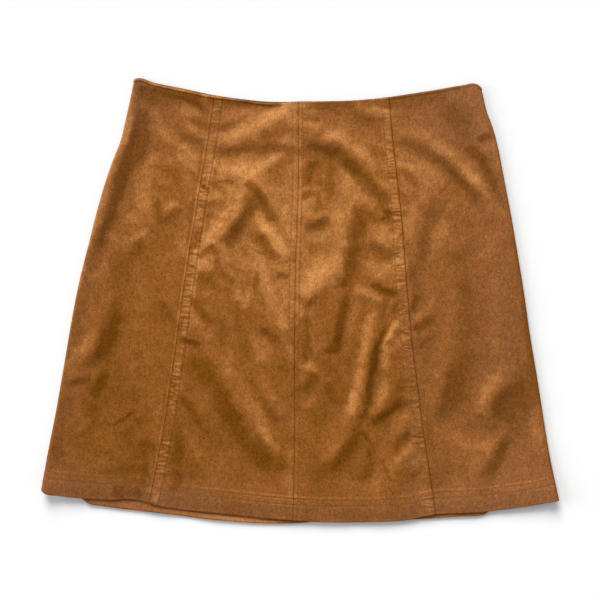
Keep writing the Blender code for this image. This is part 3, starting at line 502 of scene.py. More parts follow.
def corner_lift(x, y):
    """How far both layers stand off the surface: a low slope up to the hem, a dome over each hem corner."""
    to_hem = y - hem_y(x, "front")
    lift = HEM_LIFT * (1 + 0.25 * uneven_line(x, 70.0, 71)) * (1 - ease(to_hem / HEM_LIFT_REACH))
    for side in (-1, 1):
        corner_x = side * SEAMS[-1, RIGHT_SIDE]
        corner_y = hem_y(np.array([corner_x]), "front")[0]
        away = np.hypot(x - corner_x, y - corner_y) / CORNER_REACH
        lift += CORNER_LIFT * (1 - ease(away))
    return lift


def loft_of(folds):
    """Space under the front: its folds on the plain loft, held between the least and the most by the curve
    1 / (1 + e^-t), which is steepest at 0.42 of the way from one to the other."""
    span = LOFT_MOST - LOFT_LEAST
    return LOFT_LEAST + span / (1 + np.exp(-(LOFT + folds - LOFT_LEAST - 0.42 * span) * 3.4 / span))


def back_rise(x, y, folds):
    """How far the back is drawn up under the front's folds: a share of what stands above the plain loft."""
    above = loft_of(folds) - loft_of(np.zeros(1))
    return BACK_SHARE * above * ease(above / 1.2) * ease((y - hem_y(x, "back") - 4.0) / 30.0)


def pressed_wall(to_hem, wall):
    """The wall near the front's hem edge, which is pressed thin."""
    return wall * (1 - 0.2 * (1 - ease((to_hem - 0.5) / 7.0)))


def front_height(x, y, folds):
    """Height of the front's outer face: both layers and the space between them, the loft with its folds, less
    most of it where the hem edge is pressed, and what lifts the back and the corners."""
    hem = turned_up(x, y, "front")
    pressed = 0.8 * (1 - ease((y - hem_y(x, "front") - 2.0) / 14.0))
    over_back_hem = turned_up(x, y, "back", clear=BRIDGE, ramp=2 * BRIDGE)
    layers = CLOTH * (1 + over_back_hem) + LAYER_GAP + pressed_wall(y - hem_y(x, "front"), CLOTH * (1 + hem))
    return layers + loft_of(folds) * (1 - pressed) + back_rise(x, y, folds) + corner_lift(x, y)


def lay_out(layer, left, right, columns, rows):
    """Places on a panel, as a column of points from waist to hem for each place across it.

    A place across is (mm from the left seam, mm from the right seam, share of the width), summed; the mm
    stretch with that seam's strip. A place down is (mm from either edge, share of the length). At a side seam
    the cloth stands upright, then turns through a quarter circle, and distances are measured round that
    turn."""
    from_left_mm, from_right_mm, share = (np.asarray(c, float)[:, None] for c in columns)
    row_mm, row_share = rows
    turn_length = SIDE_UPRIGHT + SIDE_ROLL * np.pi / 2
    gap_left, gap_right = (0.0 if seam in SIDES else SEAM_GAP / 2 for seam in (left, right))
    spare = (turn_length - SIDE_ROLL) * ((left in SIDES) + (right in SIDES))

    def turn_of(away):
        """Width and share of the rise at a distance of cloth from the side seam."""
        angle = np.clip((away - SIDE_UPRIGHT) / SIDE_ROLL, 0.0, np.pi / 2)
        width = np.where(away < turn_length, SIDE_ROLL * (1 - np.cos(angle)), away - turn_length + SIDE_ROLL)
        return width, (np.minimum(away, SIDE_UPRIGHT) + SIDE_ROLL * np.sin(angle)) / SIDE_RISE

    def at(down):
        """Where the columns are, by share of the way down: x, both distances and the share of the turn."""
        start, end = seam_x(left, down) + gap_left, seam_x(right, down) - gap_right
        cloth_width = end - start + spare
        from_left = (from_left_mm * strip_width(left, down) / STRIP
                     - from_right_mm * strip_width(right, down) / STRIP + share * cloth_width)
        from_right = cloth_width - from_left
        width_left, turn_left = turn_of(from_left) if left in SIDES else (from_left, 1.0)
        width_right, turn_right = turn_of(from_right) if right in SIDES else (from_right, 1.0)
        x = np.where(from_left < from_right, start + width_left, end - width_right)
        return x, from_left, from_right, turn_left * turn_right * np.ones_like(x)

    ends = np.broadcast_to(np.array([0.0, 1.0]), (len(share), 2))
    end_x = at(ends)[0]
    length = waist_y(end_x[:, 0], layer) - hem_y(end_x[:, 1], layer)
    from_waist = row_mm[None, :] + row_share[None, :] * length[:, None]
    down = from_waist / length[:, None]
    x, from_left, from_right, turn = at(down)
    return {"x": x, "y": waist_y(end_x[:, 0], layer)[:, None] - from_waist, "from_left": from_left,
            "from_right": from_right, "turn": turn, "from_waist": from_waist,
            "to_hem": length[:, None] - from_waist, "down": down}


def across(near_left, middle, near_right):
    """Places across a panel: fixed ones by each seam and `middle` even ones between them."""
    even = np.linspace(0.0, 1.0, middle + 2)[1:-1]
    return (np.concatenate([near_left, near_left[-1] * (1 - even), np.zeros(len(near_right))]),
            np.concatenate([np.zeros(len(near_left)), near_right[-1] * even, near_right[::-1]]),
            np.concatenate([np.zeros(len(near_left)), even, np.ones(len(near_right))]))


def downwards(near_waist, middle, near_hem):
    """Places down a panel: fixed ones by each edge and `middle` even ones between them."""
    even = np.linspace(0.0, 1.0, middle + 2)[1:-1]
    return (np.concatenate([near_waist, near_waist[-1] * (1 - even) - near_hem[-1] * even, -near_hem[::-1]]),
            np.concatenate([np.zeros(len(near_waist)), even, np.ones(len(near_hem))]))


# Panels: name, CAD node, left seam, right seam, columns between the fixed ones, widest and longest of the
# cut, and the share of that rectangle which the cut fills
FRONT_PANELS = (
    ("suede_side_left", "front_side_left", LEFT_SIDE, LEFT_PRINCESS, 68, 0.118, 0.437, 0.88),
    ("suede_centre_left", "front_centre_left", LEFT_PRINCESS, CENTRE, 72, 0.151, 0.446, 0.81),
    ("suede_centre_right", "front_centre_right", CENTRE, RIGHT_PRINCESS, 74, 0.151, 0.446, 0.81),
    ("suede_side_right", "front_side_right", RIGHT_PRINCESS, RIGHT_SIDE, 76, 0.133, 0.446, 0.89))
BACK_PANEL = 0.55, 0.452, 0.84      # the back's own widest, longest and share

WAIST_NOSE = 0.8            # how far in from the waist edge a panel's outer face begins
HEM_NOSE = 0.8
ROW_HIGH, ROW_LOW = 23.6, 17.3      # the hem's two stitch rows, above its edge

# Fixed columns, from a side seam and from each kind of edge at the other seams, and fixed rows from the waist
# and hem edges. They lie closest where the cloth turns over or is stitched.
ROLL = np.concatenate([[0.0, 0.2, 0.4], SIDE_UPRIGHT + SIDE_ROLL * np.pi / 2 * np.arange(1, 8) / 7,
                       [5.6, 6.9]])
PLAIN_EDGE = np.array([0.0, 0.12, 0.35, 0.65, 1.0, 1.5, 2.1, 2.9, 4.0])
STRIP_EDGE = np.array([0.0, 0.12, 0.35, 0.65, 1.0, 1.6, 2.4, 3.4, 4.5, 5.6, 6.6, 7.5, 8.1, 8.6, 9.0, 9.4, 9.9,
                       10.6, 11.6])
CENTRE_EDGE_LEFT = np.array([0.0, 0.12, 0.35, 0.65, 1.0, 1.4, 1.9, 2.4, 3.2, 4.2, 5.0, 5.5, 5.9, 6.3, 6.8,
                             7.8])
CENTRE_EDGE_RIGHT = np.array([0.0, 0.12, 0.35, 0.65, 1.0, 1.6, 2.4, 3.2, 3.8, 4.3, 4.8, 5.4, 6.4])
WAIST_ROWS = np.array([WAIST_NOSE, 1.1, 1.5, 1.9, 2.3, 2.7, 3.1, 3.6, 4.3, 5.2])
HEM_ROWS = np.concatenate([[HEM_NOSE, 1.7, 2.4, 3.4], np.arange(4.6, 15.6, 1.1),
                           [16.1, 16.7, ROW_LOW, 17.9, 18.5, 19.4, 20.5, 21.6, 22.4, 23.0, ROW_HIGH, 24.2,
                            24.8, 25.6, 26.6, 27.6]])
FRONT_ROWS = downwards(WAIST_ROWS, 300, HEM_ROWS)
BACK_WAIST_ROWS = np.array([WAIST_NOSE, 1.3, 2.0, 2.7, WAIST_LINE, 4.2, 5.4])
BACK_HEM_ROWS = np.array([HEM_NOSE, 2.0, 4.0, 8.0, 12.0, 15.5, 16.6, ROW_LOW, 18.0, 19.2, 21.5, 22.9,
                          ROW_HIGH, 24.3, 25.5, 27.5])
BACK_ROWS = downwards(BACK_WAIST_ROWS, 130, BACK_HEM_ROWS)
LONG_ROWS = downwards(np.array([5.0]), 330, np.array([3.0]))        # for a row of stitches down a panel


def edge_columns(seam, on_left):
    """Fixed columns by one seam, seen from the panel that has it on its left or on its right."""
    if seam in SIDES:
        return ROLL
    if seam == CENTRE:
        return CENTRE_EDGE_RIGHT if on_left else CENTRE_EDGE_LEFT
    return STRIP_EDGE if (seam == LEFT_PRINCESS) == on_left else PLAIN_EDGE


def rounded_edge(away, radius):
    """How far a panel's edge lies below its face: the quarter circle that it turns down through."""
    short = np.clip(1 - away / radius, 0.0, 1.0)
    return radius * (1 - np.sqrt(1 - short**2))


def groove(away, depth, half):
    """A bell-shaped groove where a row of stitches draws the cloth in."""
    return depth * np.exp(-(away / half)**2)


def puckers(away, width, along, seed):
    """Rungs that the stitches gather across a strip: a sine and an uneven wave along the seam, leaning a
    little, strongest in the strip, dying out beyond its stitches and weaker just under the waist."""
    tilt = 0.06 + 0.28 * uneven_line(along, 13.0, seed + 3)
    lean = along + tilt * away + 1.8 * uneven_line(along, 31.0, seed)
    wave = 0.6 * np.sin(2 * np.pi * lean / 4.4) + 0.5 * uneven_line(lean, 4.4, seed + 1)
    strength = 0.8 + 0.35 * uneven_line(along, 46.0, seed + 2)
    window = ease(away / 1.6) * (1 - ease((away - 0.75 * width) / (0.75 * width)))
    upper = 1 - 0.35 * (1 - ease((along - 30.0) / 50.0))
    return np.clip(strength, 0.3, 1.2) * upper * window * wave


def edge_relief(seam, on_left, away, place):
    """Relief of one seam of a front panel: its rounded edge, strip, puckers and stitch grooves."""
    if seam in SIDES:
        return -rounded_edge(away, SIDE_ROUND)
    along = place["from_waist"]
    relief = -rounded_edge(away, SEAM_ROUND) - 0.16 * np.exp(-(away / 2.0)**2)
    if seam == CENTRE:
        row = CENTRE_ROW_RIGHT if on_left else CENTRE_ROW_LEFT
        relief += CENTRE_RISE * (1 - ease((away - row + 0.6) / 1.6)) - groove(away - row, 0.22, 0.55)
        relief += 0.05 * puckers(away, row, along, 31 + on_left)
        return relief if on_left else relief - groove(away - CENTRE_ROW_CLOSE, 0.1, 0.4)
    if (seam == LEFT_PRINCESS) != on_left:
        beaded = 0.34 if seam == LEFT_PRINCESS else 0.12
        return (relief + beaded * np.exp(-((away - 1.5) / 1.0)**2)
                + 0.05 * puckers(away, 5.0, along, 41 + on_left))
    width = strip_width(seam, place["down"])
    relief += STRIP_RISE * (1 - ease((away - width + 0.8) / 2.0)) - groove(away - width, 0.32, 0.6)
    strength = 0.3 if seam == LEFT_PRINCESS else 0.36
    return relief + strength * puckers(away, width, along, 21 + 5 * on_left)


def seam_painted_shade(seam, on_left, away, place):
    """Painted light and shade beside one seam of a front panel: a little painted light on the left side's
    turn and painted shade on the right side's, painted shade in the seams and stitch rows with painted light
    between them, the strip a little lighter with painted light and shade on its rungs, and a painted
    highlight on the bead along the left princess seam's own edge."""
    along = place["from_waist"]
    if seam in SIDES:
        return (0.1 if seam == LEFT_SIDE else -0.5) * np.exp(-((away - SIDE_ROLL) / 3.0)**2)
    if seam == CENTRE:
        row = CENTRE_ROW_RIGHT if on_left else CENTRE_ROW_LEFT
        return (-0.24 * np.exp(-(away / 1.0)**2) - 0.28 * np.exp(-((away - row) / 0.7)**2)
                + 0.15 * np.exp(-((away - 0.55 * row) / 0.8)**2)
                + 0.16 * puckers(away, row, along, 31 + on_left))
    if (seam == LEFT_PRINCESS) != on_left:
        if seam == LEFT_PRINCESS:
            return 0.60 * np.exp(-((away - 1.3) / 0.9)**2) - 0.15 * np.exp(-((away - 3.4) / 0.8)**2)
        return -0.45 * np.exp(-(away / 0.8)**2)
    width = strip_width(seam, place["down"])
    strip = ease((away - 0.8) / 1.0) * (1 - ease((away - width + 0.4) / 1.2))
    line, rungs = (0.05, 0.75) if seam == LEFT_PRINCESS else (0.5, 0.85)
    return (0.26 * strip + rungs * puckers(away, width, along, 21 + 5 * on_left)
            - line * np.exp(-(away / 1.0)**2) - 0.35 * np.exp(-((away - width) / 0.8)**2)
            + 0.25 * np.exp(-((away - width - 1.8) / 0.8)**2))


def broad_painted_light(x, y):
    """The skirt's slow painted light: a broad painted pool of light, lightest over the upper middle,
    with broad darker and lighter patches.
    """
    return (0.70 * np.exp(-((x + 5.0) / 135.0)**2 - ((y - 110.0) / 120.0)**2) - 0.25
            - 0.10 * ease((x + 20.0) / 60.0)
            - 0.36 * np.exp(-((x + 180.0) / 110.0)**2 - ((y + 165.0) / 75.0)**2)
            - 0.22 * np.exp(-((x - 240.0) / 45.0)**2 - ((y + 40.0) / 90.0)**2)
            + 0.30 * np.exp(-((x - 125.0) / 70.0)**2 - ((y - 90.0) / 60.0)**2))


def dust(x, y, place):
    """Where the nap is greyer and pinker, 0 to 1.2: along the hem, beside the left side seam, over the right
    side panel and towards the waist, each an eased slope or a bell, summed."""
    low = ease((42.0 - place["to_hem"]) / 60.0 + 0.35) * ease((70.0 - place["to_hem"]) / 60.0)
    low = low * (0.6 + 0.25 * ease((-60.0 - x) / 60.0))
    left_edge = np.exp(-((x - seam_x(LEFT_SIDE, place["down"])) / 30.0)**2)
    left_edge *= 0.4 + 0.3 * ease((y - 20.0) / 80.0)
    right_part = 0.35 * ease((x - 95.0) / 25.0) + 0.3 * ease((x - 160.0) / 60.0)
    top = ease((y - 130.0) / 60.0) * (0.3 + 0.4 * ease((x - 120.0) / 60.0))
    return np.clip(low + left_edge + right_part + top, 0.0, 1.2)


def hem_relief(to_hem, x, depth):
    """The two stitch rows that hold the hem's turn-up, and the small ripples that they gather."""
    rows = groove(to_hem - ROW_HIGH, 1.0, 0.65) + groove(to_hem - ROW_LOW, 1.0, 0.65)
    ripple = uneven_line(x, 6.5, 51) * np.exp(-((to_hem - 19.0) / 7.0)**2)
    return -depth * rows + 0.05 * ripple + 0.1 * uneven_line(x, 17.0, 52) * ease((26.0 - to_hem) / 20.0)


def hem_painted_shade(to_hem, x):
    """Each hem row as a line of painted shade in its groove between two lines of painted light, all of them
    bells, clearest in the middle, by the right princess seam and near the sides. The turn-up as a whole lies
    a little darker."""
    light = 0.15 + 0.75 * np.exp(-((x + 32.0) / 55.0)**2) + 0.45 * np.exp(-((x - 236.0) / 30.0)**2)
    clear = 0.45 + 0.55 * np.exp(-((x + 5.0) / 55.0)**2) + 0.5 * np.exp(-((x - 135.0) / 28.0)**2)
    clear += 0.6 * np.exp(-((x - 236.0) / 32.0)**2) + 0.3 * np.exp(-((x + 215.0) / 45.0)**2)
    painted_shade_and_nap = np.zeros_like(x)
    for row in (ROW_HIGH, ROW_LOW):
        painted_shade_and_nap += light * groove(np.abs(to_hem - row) - 1.5, 1.0, 0.7) - 1.2 * groove(to_hem - row, 1.0, 0.75)
    return clear * painted_shade_and_nap - 0.16 * ease((40.0 - to_hem) / 18.0)


def front_face(left, right, columns, rows=FRONT_ROWS):
    """A front panel's face: its places, base points, the ways out of them, relief, wall, painted shade and
    light, and dust.

    The base is the CAD form with all its folds. The relief is laid on it along its normals, and stays out of
    the inner face. The relief is the seams' and hem's own, the bead along the waist, and a fine uneven
    field."""
    place = lay_out("front", left, right, columns, rows)
    x, y, turn = place["x"], place["y"], place["turn"]
    folds, shade = fold_field(x, y)
    folds += 0.16 * uneven_field(x, y, 26.0, 61) + 0.07 * uneven_field(x, y, 11.0, 62)
    height = front_height(x, y, folds)
    seam_height = 2 * SIDE_RISE + LAYER_GAP + corner_lift(x, y)
    at_side = seam_height + 0.25 * uneven_line(y, 60.0, 63)
    for seam, away in ((left, place["from_left"]), (right, place["from_right"])):
        if seam in SIDES:
            inwards = ease((away - SIDE_UPRIGHT) / 5.0)
            height = seam_height + (at_side - seam_height) * inwards + (height - at_side) * ease(
                (away - SIDE_ROLL) / SIDE_EASE)
    base = np.stack([x, y, height - SIDE_RISE * (1 - turn)], -1)
    out = ways_out(base)
    rolled = 1 - 0.8 * ease((x + 34.0) / 20.0) * (1 - 0.5 * ease((x - 70.0) / 40.0))
    wide = ease((-88.0 - x) / 22.0)
    from_bead = place["from_waist"] - 0.7 * wide
    # Painted shade and light of seams, broad falloff and hem rows; a painted highlight on the waist bead,
    # painted shade under it.
    shade += (seam_painted_shade(left, True, place["from_left"], place)
              + seam_painted_shade(right, False, place["from_right"], place)
              + broad_painted_light(x, y)
              + (0.35 + 0.5 * rolled + 0.8 * wide) * groove(from_bead - 1.1, 1.0, 0.9)
              - 0.75 * rolled * groove(from_bead - WAIST_LINE, 1.0, 1.1)
              + hem_painted_shade(place["to_hem"], x))
    relief = (edge_relief(left, True, place["from_left"], place)
              + edge_relief(right, False, place["from_right"], place)
              + hem_relief(place["to_hem"], x, 0.22)
              + rolled * WAIST_BEAD * (1 - ease((from_bead - 0.6 * WAIST_BEAD_WIDTH) / WAIST_BEAD_WIDTH))
              - rolled * groove(from_bead - WAIST_LINE, 0.28, 0.8)
              + 0.035 * uneven_field(x, y, 5.5, 64))
    wall = pressed_wall(y - hem_y(x, "front"), CLOTH * (1 + turned_up(x, y, "front")))
    dusty = dust(x, y, place) * (1 - 0.5 * ease((-0.5 - shade) / 1.0))
    return place, base, out, relief, wall, shade, dusty


def back_face(columns, rows):
    """The back, facing down, as front_face gives a front panel: flat on the surface but for shallow hollows
    under the front's folds, its two turned up sides and its lifted hem. Its colour carries a third of the
    folds' painted shade, a painted shadow just under the front's hem edge, painted light on the strip that
    shows below it, and painted shade along its own hem edge and along its waist edge."""
    place = lay_out("back", LEFT_SIDE, RIGHT_SIDE, columns, rows)
    x, y, turn = place["x"], place["y"], place["turn"]
    folds, shade = fold_field(x, y)
    from_side = np.minimum(place["from_left"], place["from_right"])
    rise = back_rise(x, y, folds) * ease((from_side - 8.0) / 30.0)
    base = np.stack([x, y, SIDE_RISE * (1 - turn) + corner_lift(x, y) + rise], -1)
    out = -ways_out(base)
    relief = (-rounded_edge(from_side, SIDE_ROUND) - groove(place["to_hem"] - ROW_HIGH, 0.15, 0.7)
              - groove(place["to_hem"] - ROW_LOW, 0.15, 0.7)
              - groove(place["from_waist"] - WAIST_LINE, 0.2, 0.9))
    wall = CLOTH * (1 + turned_up(x, y, "back"))
    under = hem_y(x, "front") - y
    # Painted light on the hem strip below the front's, painted shadow under that edge, painted shade at hem
    # and waist.
    painted_light_on_strip = 0.2 + np.exp(-((x + 62.0) / 42.0)**2) + np.exp(-((x - 172.0) / 30.0)**2)
    painted_light_and_shade_at_edges = (painted_light_on_strip * ease((under - 0.5) / 3.0)
             - 2.2 * np.exp(-((under - 0.2) / 1.2)**2) - 0.5 * (1 - ease((place["to_hem"] - 0.4) / 1.2))
             - 0.7 * ease((6.0 - place["from_waist"]) / 3.0))
    return place, base, out, relief, wall, 0.35 * shade + painted_light_and_shade_at_edges, dust(x, y, place)


def ways_out(points):
    """Unit normals of a grid of points, up for a flat panel: its steps down crossed with those across."""
    down, sideways = np.gradient(points, axis=1), np.gradient(points, axis=0)
    return unit(np.cross(down, sideways))


# Meshes

def nose(outer, inner, outwards, turns):
    """Half a turn of cloth from outer to inner face: centre + half cos a + outwards r sin a."""
    centre, half = (outer + inner) / 2, (outer - inner) / 2
    radius = np.linalg.norm(half, axis=-1, keepdims=True)
    angle = np.pi * np.arange(1, turns) / turns
    return (centre[:, None] + half[:, None] * np.cos(angle)[None, :, None]
            + (outwards * radius)[:, None] * np.sin(angle)[None, :, None])


def unit(v):
    """Vectors over their own lengths."""
    return v / np.linalg.norm(v, axis=-1, keepdims=True)


def mapped(mesh, name, place_of):
    """A map of the mesh, its place for each face corner given by the number of that corner's point."""
    corners = np.zeros(len(mesh.loops), np.int32)
    mesh.loops.foreach_get("vertex_index", corners)
    mesh.uv_layers.new(name=name).data.foreach_set("uv", place_of(corners).ravel().astype(np.float32))


def shell(name, place, base, out, relief, wall, shade, dusty, material, turns=4):
    """A closed shell of cloth: each column is a loop down the outer face, round the hem, up the inner face
    and over the waist edge. The outer face is base + out * relief, the inner one base - out * wall."""
    outer, inner = base + out * relief[..., None], base - out * wall[..., None]
    hem = nose(outer[:, -1], inner[:, -1], unit(base[:, -1] - base[:, -2]), turns)
    waist = nose(outer[:, 0], inner[:, 0], unit(base[:, 0] - base[:, 1]), turns)
    loops = np.concatenate([outer, hem, inner[:, ::-1], waist[:, ::-1]], axis=1)

    def round_the_loop(values):
        """A value for every point of a loop: the face's own, and at each nose its edge's."""
        return np.concatenate([values, np.repeat(values[:, -1:], turns - 1, 1), values[:, ::-1],
                               np.repeat(values[:, :1], turns - 1, 1)], axis=1)

    columns, length = loops.shape[:2]
    index = np.arange(columns * length).reshape(columns, length)
    after = np.roll(index, -1, axis=1)
    walls = np.stack([index[:-1], after[:-1], after[1:], index[1:]], -1).reshape(-1, 4)
    rows = outer.shape[1]
    face_in = index[:, rows + turns - 1:2 * rows + turns - 1][:, ::-1]
    ends = []
    for column, flipped in ((0, True), (columns - 1, False)):
        rim = np.stack([index[column, :rows - 1], index[column, 1:rows],
                        face_in[column, 1:], face_in[column, :-1]], -1)
        hem_rim = [*index[column, rows - 1:rows + turns]]
        waist_rim = [*index[column, 2 * rows + turns - 2:], index[column, 0]]
        for face in [*rim.tolist(), hem_rim, waist_rim]:
            ends.append(face[::-1] if flipped else face)
    if out[columns // 2, rows // 2, 2] < 0:
        walls, ends = walls[:, ::-1], [face[::-1] for face in ends]
    mesh = bpy.data.meshes.new(name)
    mesh.from_pydata((loops.reshape(-1, 3) * MM).tolist(), [], walls.tolist() + ends)
    mesh.shade_smooth()
    # The painted shade and light, partly the nap's own marks, and the dust, for the suede's colour to read.
    for kind, values in (("painted_shade_and_nap", shade), ("dust", dusty)):
        made = mesh.attributes.new(kind, "FLOAT", "POINT")
        made.data.foreach_set("value", round_the_loop(values).ravel().astype(np.float32))
    cut = np.stack([round_the_loop(place["from_left"]), -round_the_loop(place["from_waist"])], -1)
    cut = cut.reshape(-1, 2) * MM
    mapped(mesh, "cut", lambda corners: cut[corners])
    return placed(name, mesh, material)


def placed(name, mesh, material):
    """The mesh as a piece of the skirt, in its material, on the one body."""
    mesh.materials.append(material)
    piece = bpy.data.objects.new(name, mesh)
    bpy.context.scene.collection.objects.link(piece)
    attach(piece, "root")
    return piece


STITCH_RINGS = np.array([-1.0, -0.72, -0.25, 0.25, 0.72, 1.0])
STITCH_SIDES = 6


def stitches(points, out, pitch, length, radius, seed):
    """One row of stitches along a line on the cloth, as points and faces.

    Each is six rings of six points. A ring's size goes as the square root of 1 - 0.8 f^4 and its centre
    stands above the cloth by 0.55 radius - 1.5 radius f^4, with f from -1 to 1 along the stitch, so that both
    ends dive in."""
    rng = np.random.default_rng(seed)
    arc = np.concatenate([[0.0], np.cumsum(np.linalg.norm(np.diff(points, axis=0), axis=1))])
    count = int((arc[-1] - pitch) / pitch)
    middle = (np.arange(count) + 1.0) * pitch + rng.normal(0, 0.05, count) * pitch
    reach = length / 2 * rng.uniform(0.88, 1.1, count)
    at = middle[:, None] + reach[:, None] * STITCH_RINGS

    def along(values, s):
        """Values at a length along the row, on straight lines between those of its points."""
        return np.stack([np.interp(s, arc, values[:, k]) for k in range(3)], -1)

    up = unit(along(out, at))
    ahead = unit(along(points, at + 0.4) - along(points, at - 0.4))
    side = unit(np.cross(up, ahead))
    f4 = STITCH_RINGS**4
    centre = along(points, at) + up * (radius * (0.55 - 1.5 * f4))[None, :, None]
    centre += side * rng.normal(0, 0.06, (count, 1, 1))
    size = (radius * np.sqrt(1 - 0.8 * f4))[None, :, None, None]
    angle = 2 * np.pi * np.arange(STITCH_SIDES) / STITCH_SIDES
    ring = (np.cos(angle)[:, None] * side[:, :, None] + 0.8 * np.sin(angle)[:, None] * up[:, :, None])
    verts = (centre[:, :, None] + size * ring).reshape(-1, 3)
    rings, sides = len(STITCH_RINGS), STITCH_SIDES
    index = np.arange(count * rings * sides).reshape(count, rings, sides)
    turned = np.roll(index, -1, axis=2)
    walls = np.stack([index[:, :-1], index[:, 1:], turned[:, 1:], turned[:, :-1]], -1).reshape(-1, 4)
    caps = np.concatenate([index[:, 0], index[:, -1, ::-1]])
    return verts, walls, caps


def sewing(name, rows, material, pitch=3.0, length=2.45, radius=0.26):
    """Stitch rows joined in one piece. Its map runs along each stitch, for the ply of the thread."""
    parts, first = [], 0
    all_walls, all_caps = [], []
    for number, (points, out) in enumerate(rows):
        verts, walls, caps = stitches(points, out, pitch, length, radius, 101 + 7 * number)
        all_walls += (walls + first).tolist()
        all_caps += (caps + first).tolist()
        parts.append(verts)
        first += len(verts)
    verts = np.concatenate(parts)
    mesh = bpy.data.meshes.new(name)
    mesh.from_pydata((verts * MM).tolist(), [], all_walls + all_caps)
    mesh.shade_smooth()

    def along_and_round(corners):
        """A point's place on its stitch: -1 to 1 along it and 0 to 1 round it."""
        ring = corners // STITCH_SIDES % len(STITCH_RINGS)
        return np.stack([STITCH_RINGS[ring], corners % STITCH_SIDES / STITCH_SIDES], -1)

    mapped(mesh, "ply", along_and_round)
    return placed(name, mesh, material)


# Finishes

def linear(red, green, blue):
    """A display colour, 0 to 255, as the linear colour that shaders work in."""
    values = np.array([red, green, blue]) / 255
    return (*np.where(values < 0.04045, values / 12.92, ((values + 0.055) / 1.055)**2.4), 1.0)


def socket(group, name, kind, way, value=None):
    """A named input or output of a node group."""
    made = group.interface.new_socket(name=name, in_out=way, socket_type=kind)
    if value is not None:
        made.default_value = value
    return made


def painted_shade_and_nap_colour():
    """Node group: the colour, roughness and height of a brushed nap, with painted shade and light in the
    colour.

    Tone = 0.5 + lay/2 * the painted shade and nap attribute + patches + mottle, each an object-space noise
    about its mean. The colour goes from dark through middle to light with the tone, so painted shade and
    light go into it, then toward the dusty colour by the dust attribute, and is scaled by 1 + flecks + grain,
    two finer such noises. The roughness falls a little with the tone, and the height is the grain with finer
    fibres."""
    group = bpy.data.node_groups.new("painted_shade_and_nap_colour", "ShaderNodeTree")
    for name, value in (("PaintedShadeAndNap", 0.0), ("Dust", 0.0), ("Lay", 0.6), ("Patches", 0.2), ("Mottle", 0.2),
                        ("Flecks", 0.2), ("Grain", 0.2)):
        socket(group, name, "NodeSocketFloat", "INPUT", value)
    for name in ("Dark", "Middle", "Light", "Dusty"):
        socket(group, name, "NodeSocketColor", "INPUT", (0.5, 0.5, 0.5, 1.0))
    socket(group, "Color", "NodeSocketColor", "OUTPUT")
    socket(group, "Roughness", "NodeSocketFloat", "OUTPUT")
    socket(group, "Height", "NodeSocketFloat", "OUTPUT")
    nodes, links = group.nodes, group.links
    given, result = nodes.new("NodeGroupInput"), nodes.new("NodeGroupOutput")
    place = nodes.new("ShaderNodeTexCoord")

    def noise(scale, detail, roughness, stretch=(1.0, 1.0, 1.0)):
        """Noise on Object coordinates, which are multiplied by the stretch first."""
        mapping = nodes.new("ShaderNodeMapping")
        mapping.inputs["Scale"].default_value = stretch
        made = nodes.new("ShaderNodeTexNoise")
        made.inputs["Scale"].default_value = scale
        made.inputs["Detail"].default_value = detail
        made.inputs["Roughness"].default_value = roughness
        links.new(place.outputs["Object"], mapping.inputs["Vector"])
        links.new(mapping.outputs["Vector"], made.inputs["Vector"])
        return made.outputs["Fac"]

    def maths(operation, a, b, c=None):
        """One sum on two or three values, each a number or another node's output."""
        node = nodes.new("ShaderNodeMath")
        node.operation = operation
        for index, value in enumerate((a, b) if c is None else (a, b, c)):
            if isinstance(value, (int, float)):
                node.inputs[index].default_value = value
            else:
                links.new(value, node.inputs[index])
        return node.outputs["Value"]

    grain = noise(scale=880.0, detail=3.0, roughness=0.65, stretch=(1.0, 0.72, 1.0))
    fibres = noise(scale=2600.0, detail=2.0, roughness=0.6, stretch=(1.0, 0.5, 1.0))
    flecks = noise(scale=340.0, detail=2.0, roughness=0.6, stretch=(1.0, 0.62, 1.0))
    patches = noise(scale=26.0, detail=2.0, roughness=0.5)
    mottle = noise(scale=110.0, detail=2.0, roughness=0.6)
    tone = maths("MULTIPLY_ADD", given.outputs["PaintedShadeAndNap"], maths("MULTIPLY", given.outputs["Lay"], 0.5), 0.5)
    for pattern, strength in ((patches, "Patches"), (mottle, "Mottle")):
        tone = maths("MULTIPLY_ADD", maths("SUBTRACT", pattern, 0.5), given.outputs[strength], tone)
    fleck_share = maths("MULTIPLY_ADD", maths("SUBTRACT", flecks, 0.5), given.outputs["Flecks"], 1.0)
    fine_share = maths("MULTIPLY_ADD", maths("SUBTRACT", grain, 0.5), given.outputs["Grain"], fleck_share)

    def mixed(low, high, value, start, end):
        """Colour from low to high, on a straight line as the value goes from start to end."""
        share = nodes.new("ShaderNodeMapRange")
        share.interpolation_type = "LINEAR"
        share.inputs["From Min"].default_value = start
        share.inputs["From Max"].default_value = end
        links.new(value, share.inputs["Value"])
        mix = nodes.new("ShaderNodeMix")
        mix.data_type = "RGBA"
        links.new(share.outputs["Result"], mix.inputs[0])
        links.new(low, mix.inputs[6])
        links.new(high, mix.inputs[7])
        return mix.outputs[2]

    dark_to_middle = mixed(given.outputs["Dark"], given.outputs["Middle"], tone, 0.0, 0.5)
    clean = mixed(dark_to_middle, given.outputs["Light"], tone, 0.5, 1.0)
    colour = mixed(clean, given.outputs["Dusty"], given.outputs["Dust"], 0.0, 2.0)
    scaled = nodes.new("ShaderNodeVectorMath")
    scaled.operation = "SCALE"
    links.new(colour, scaled.inputs[0])
    links.new(fine_share, scaled.inputs["Scale"])
    links.new(scaled.outputs["Vector"], result.inputs["Color"])
    links.new(maths("MULTIPLY_ADD", tone, -0.14, 0.96), result.inputs["Roughness"])
    links.new(maths("MULTIPLY_ADD", fibres, 0.35, maths("MULTIPLY", grain, 0.65)), result.inputs["Height"])
    return group


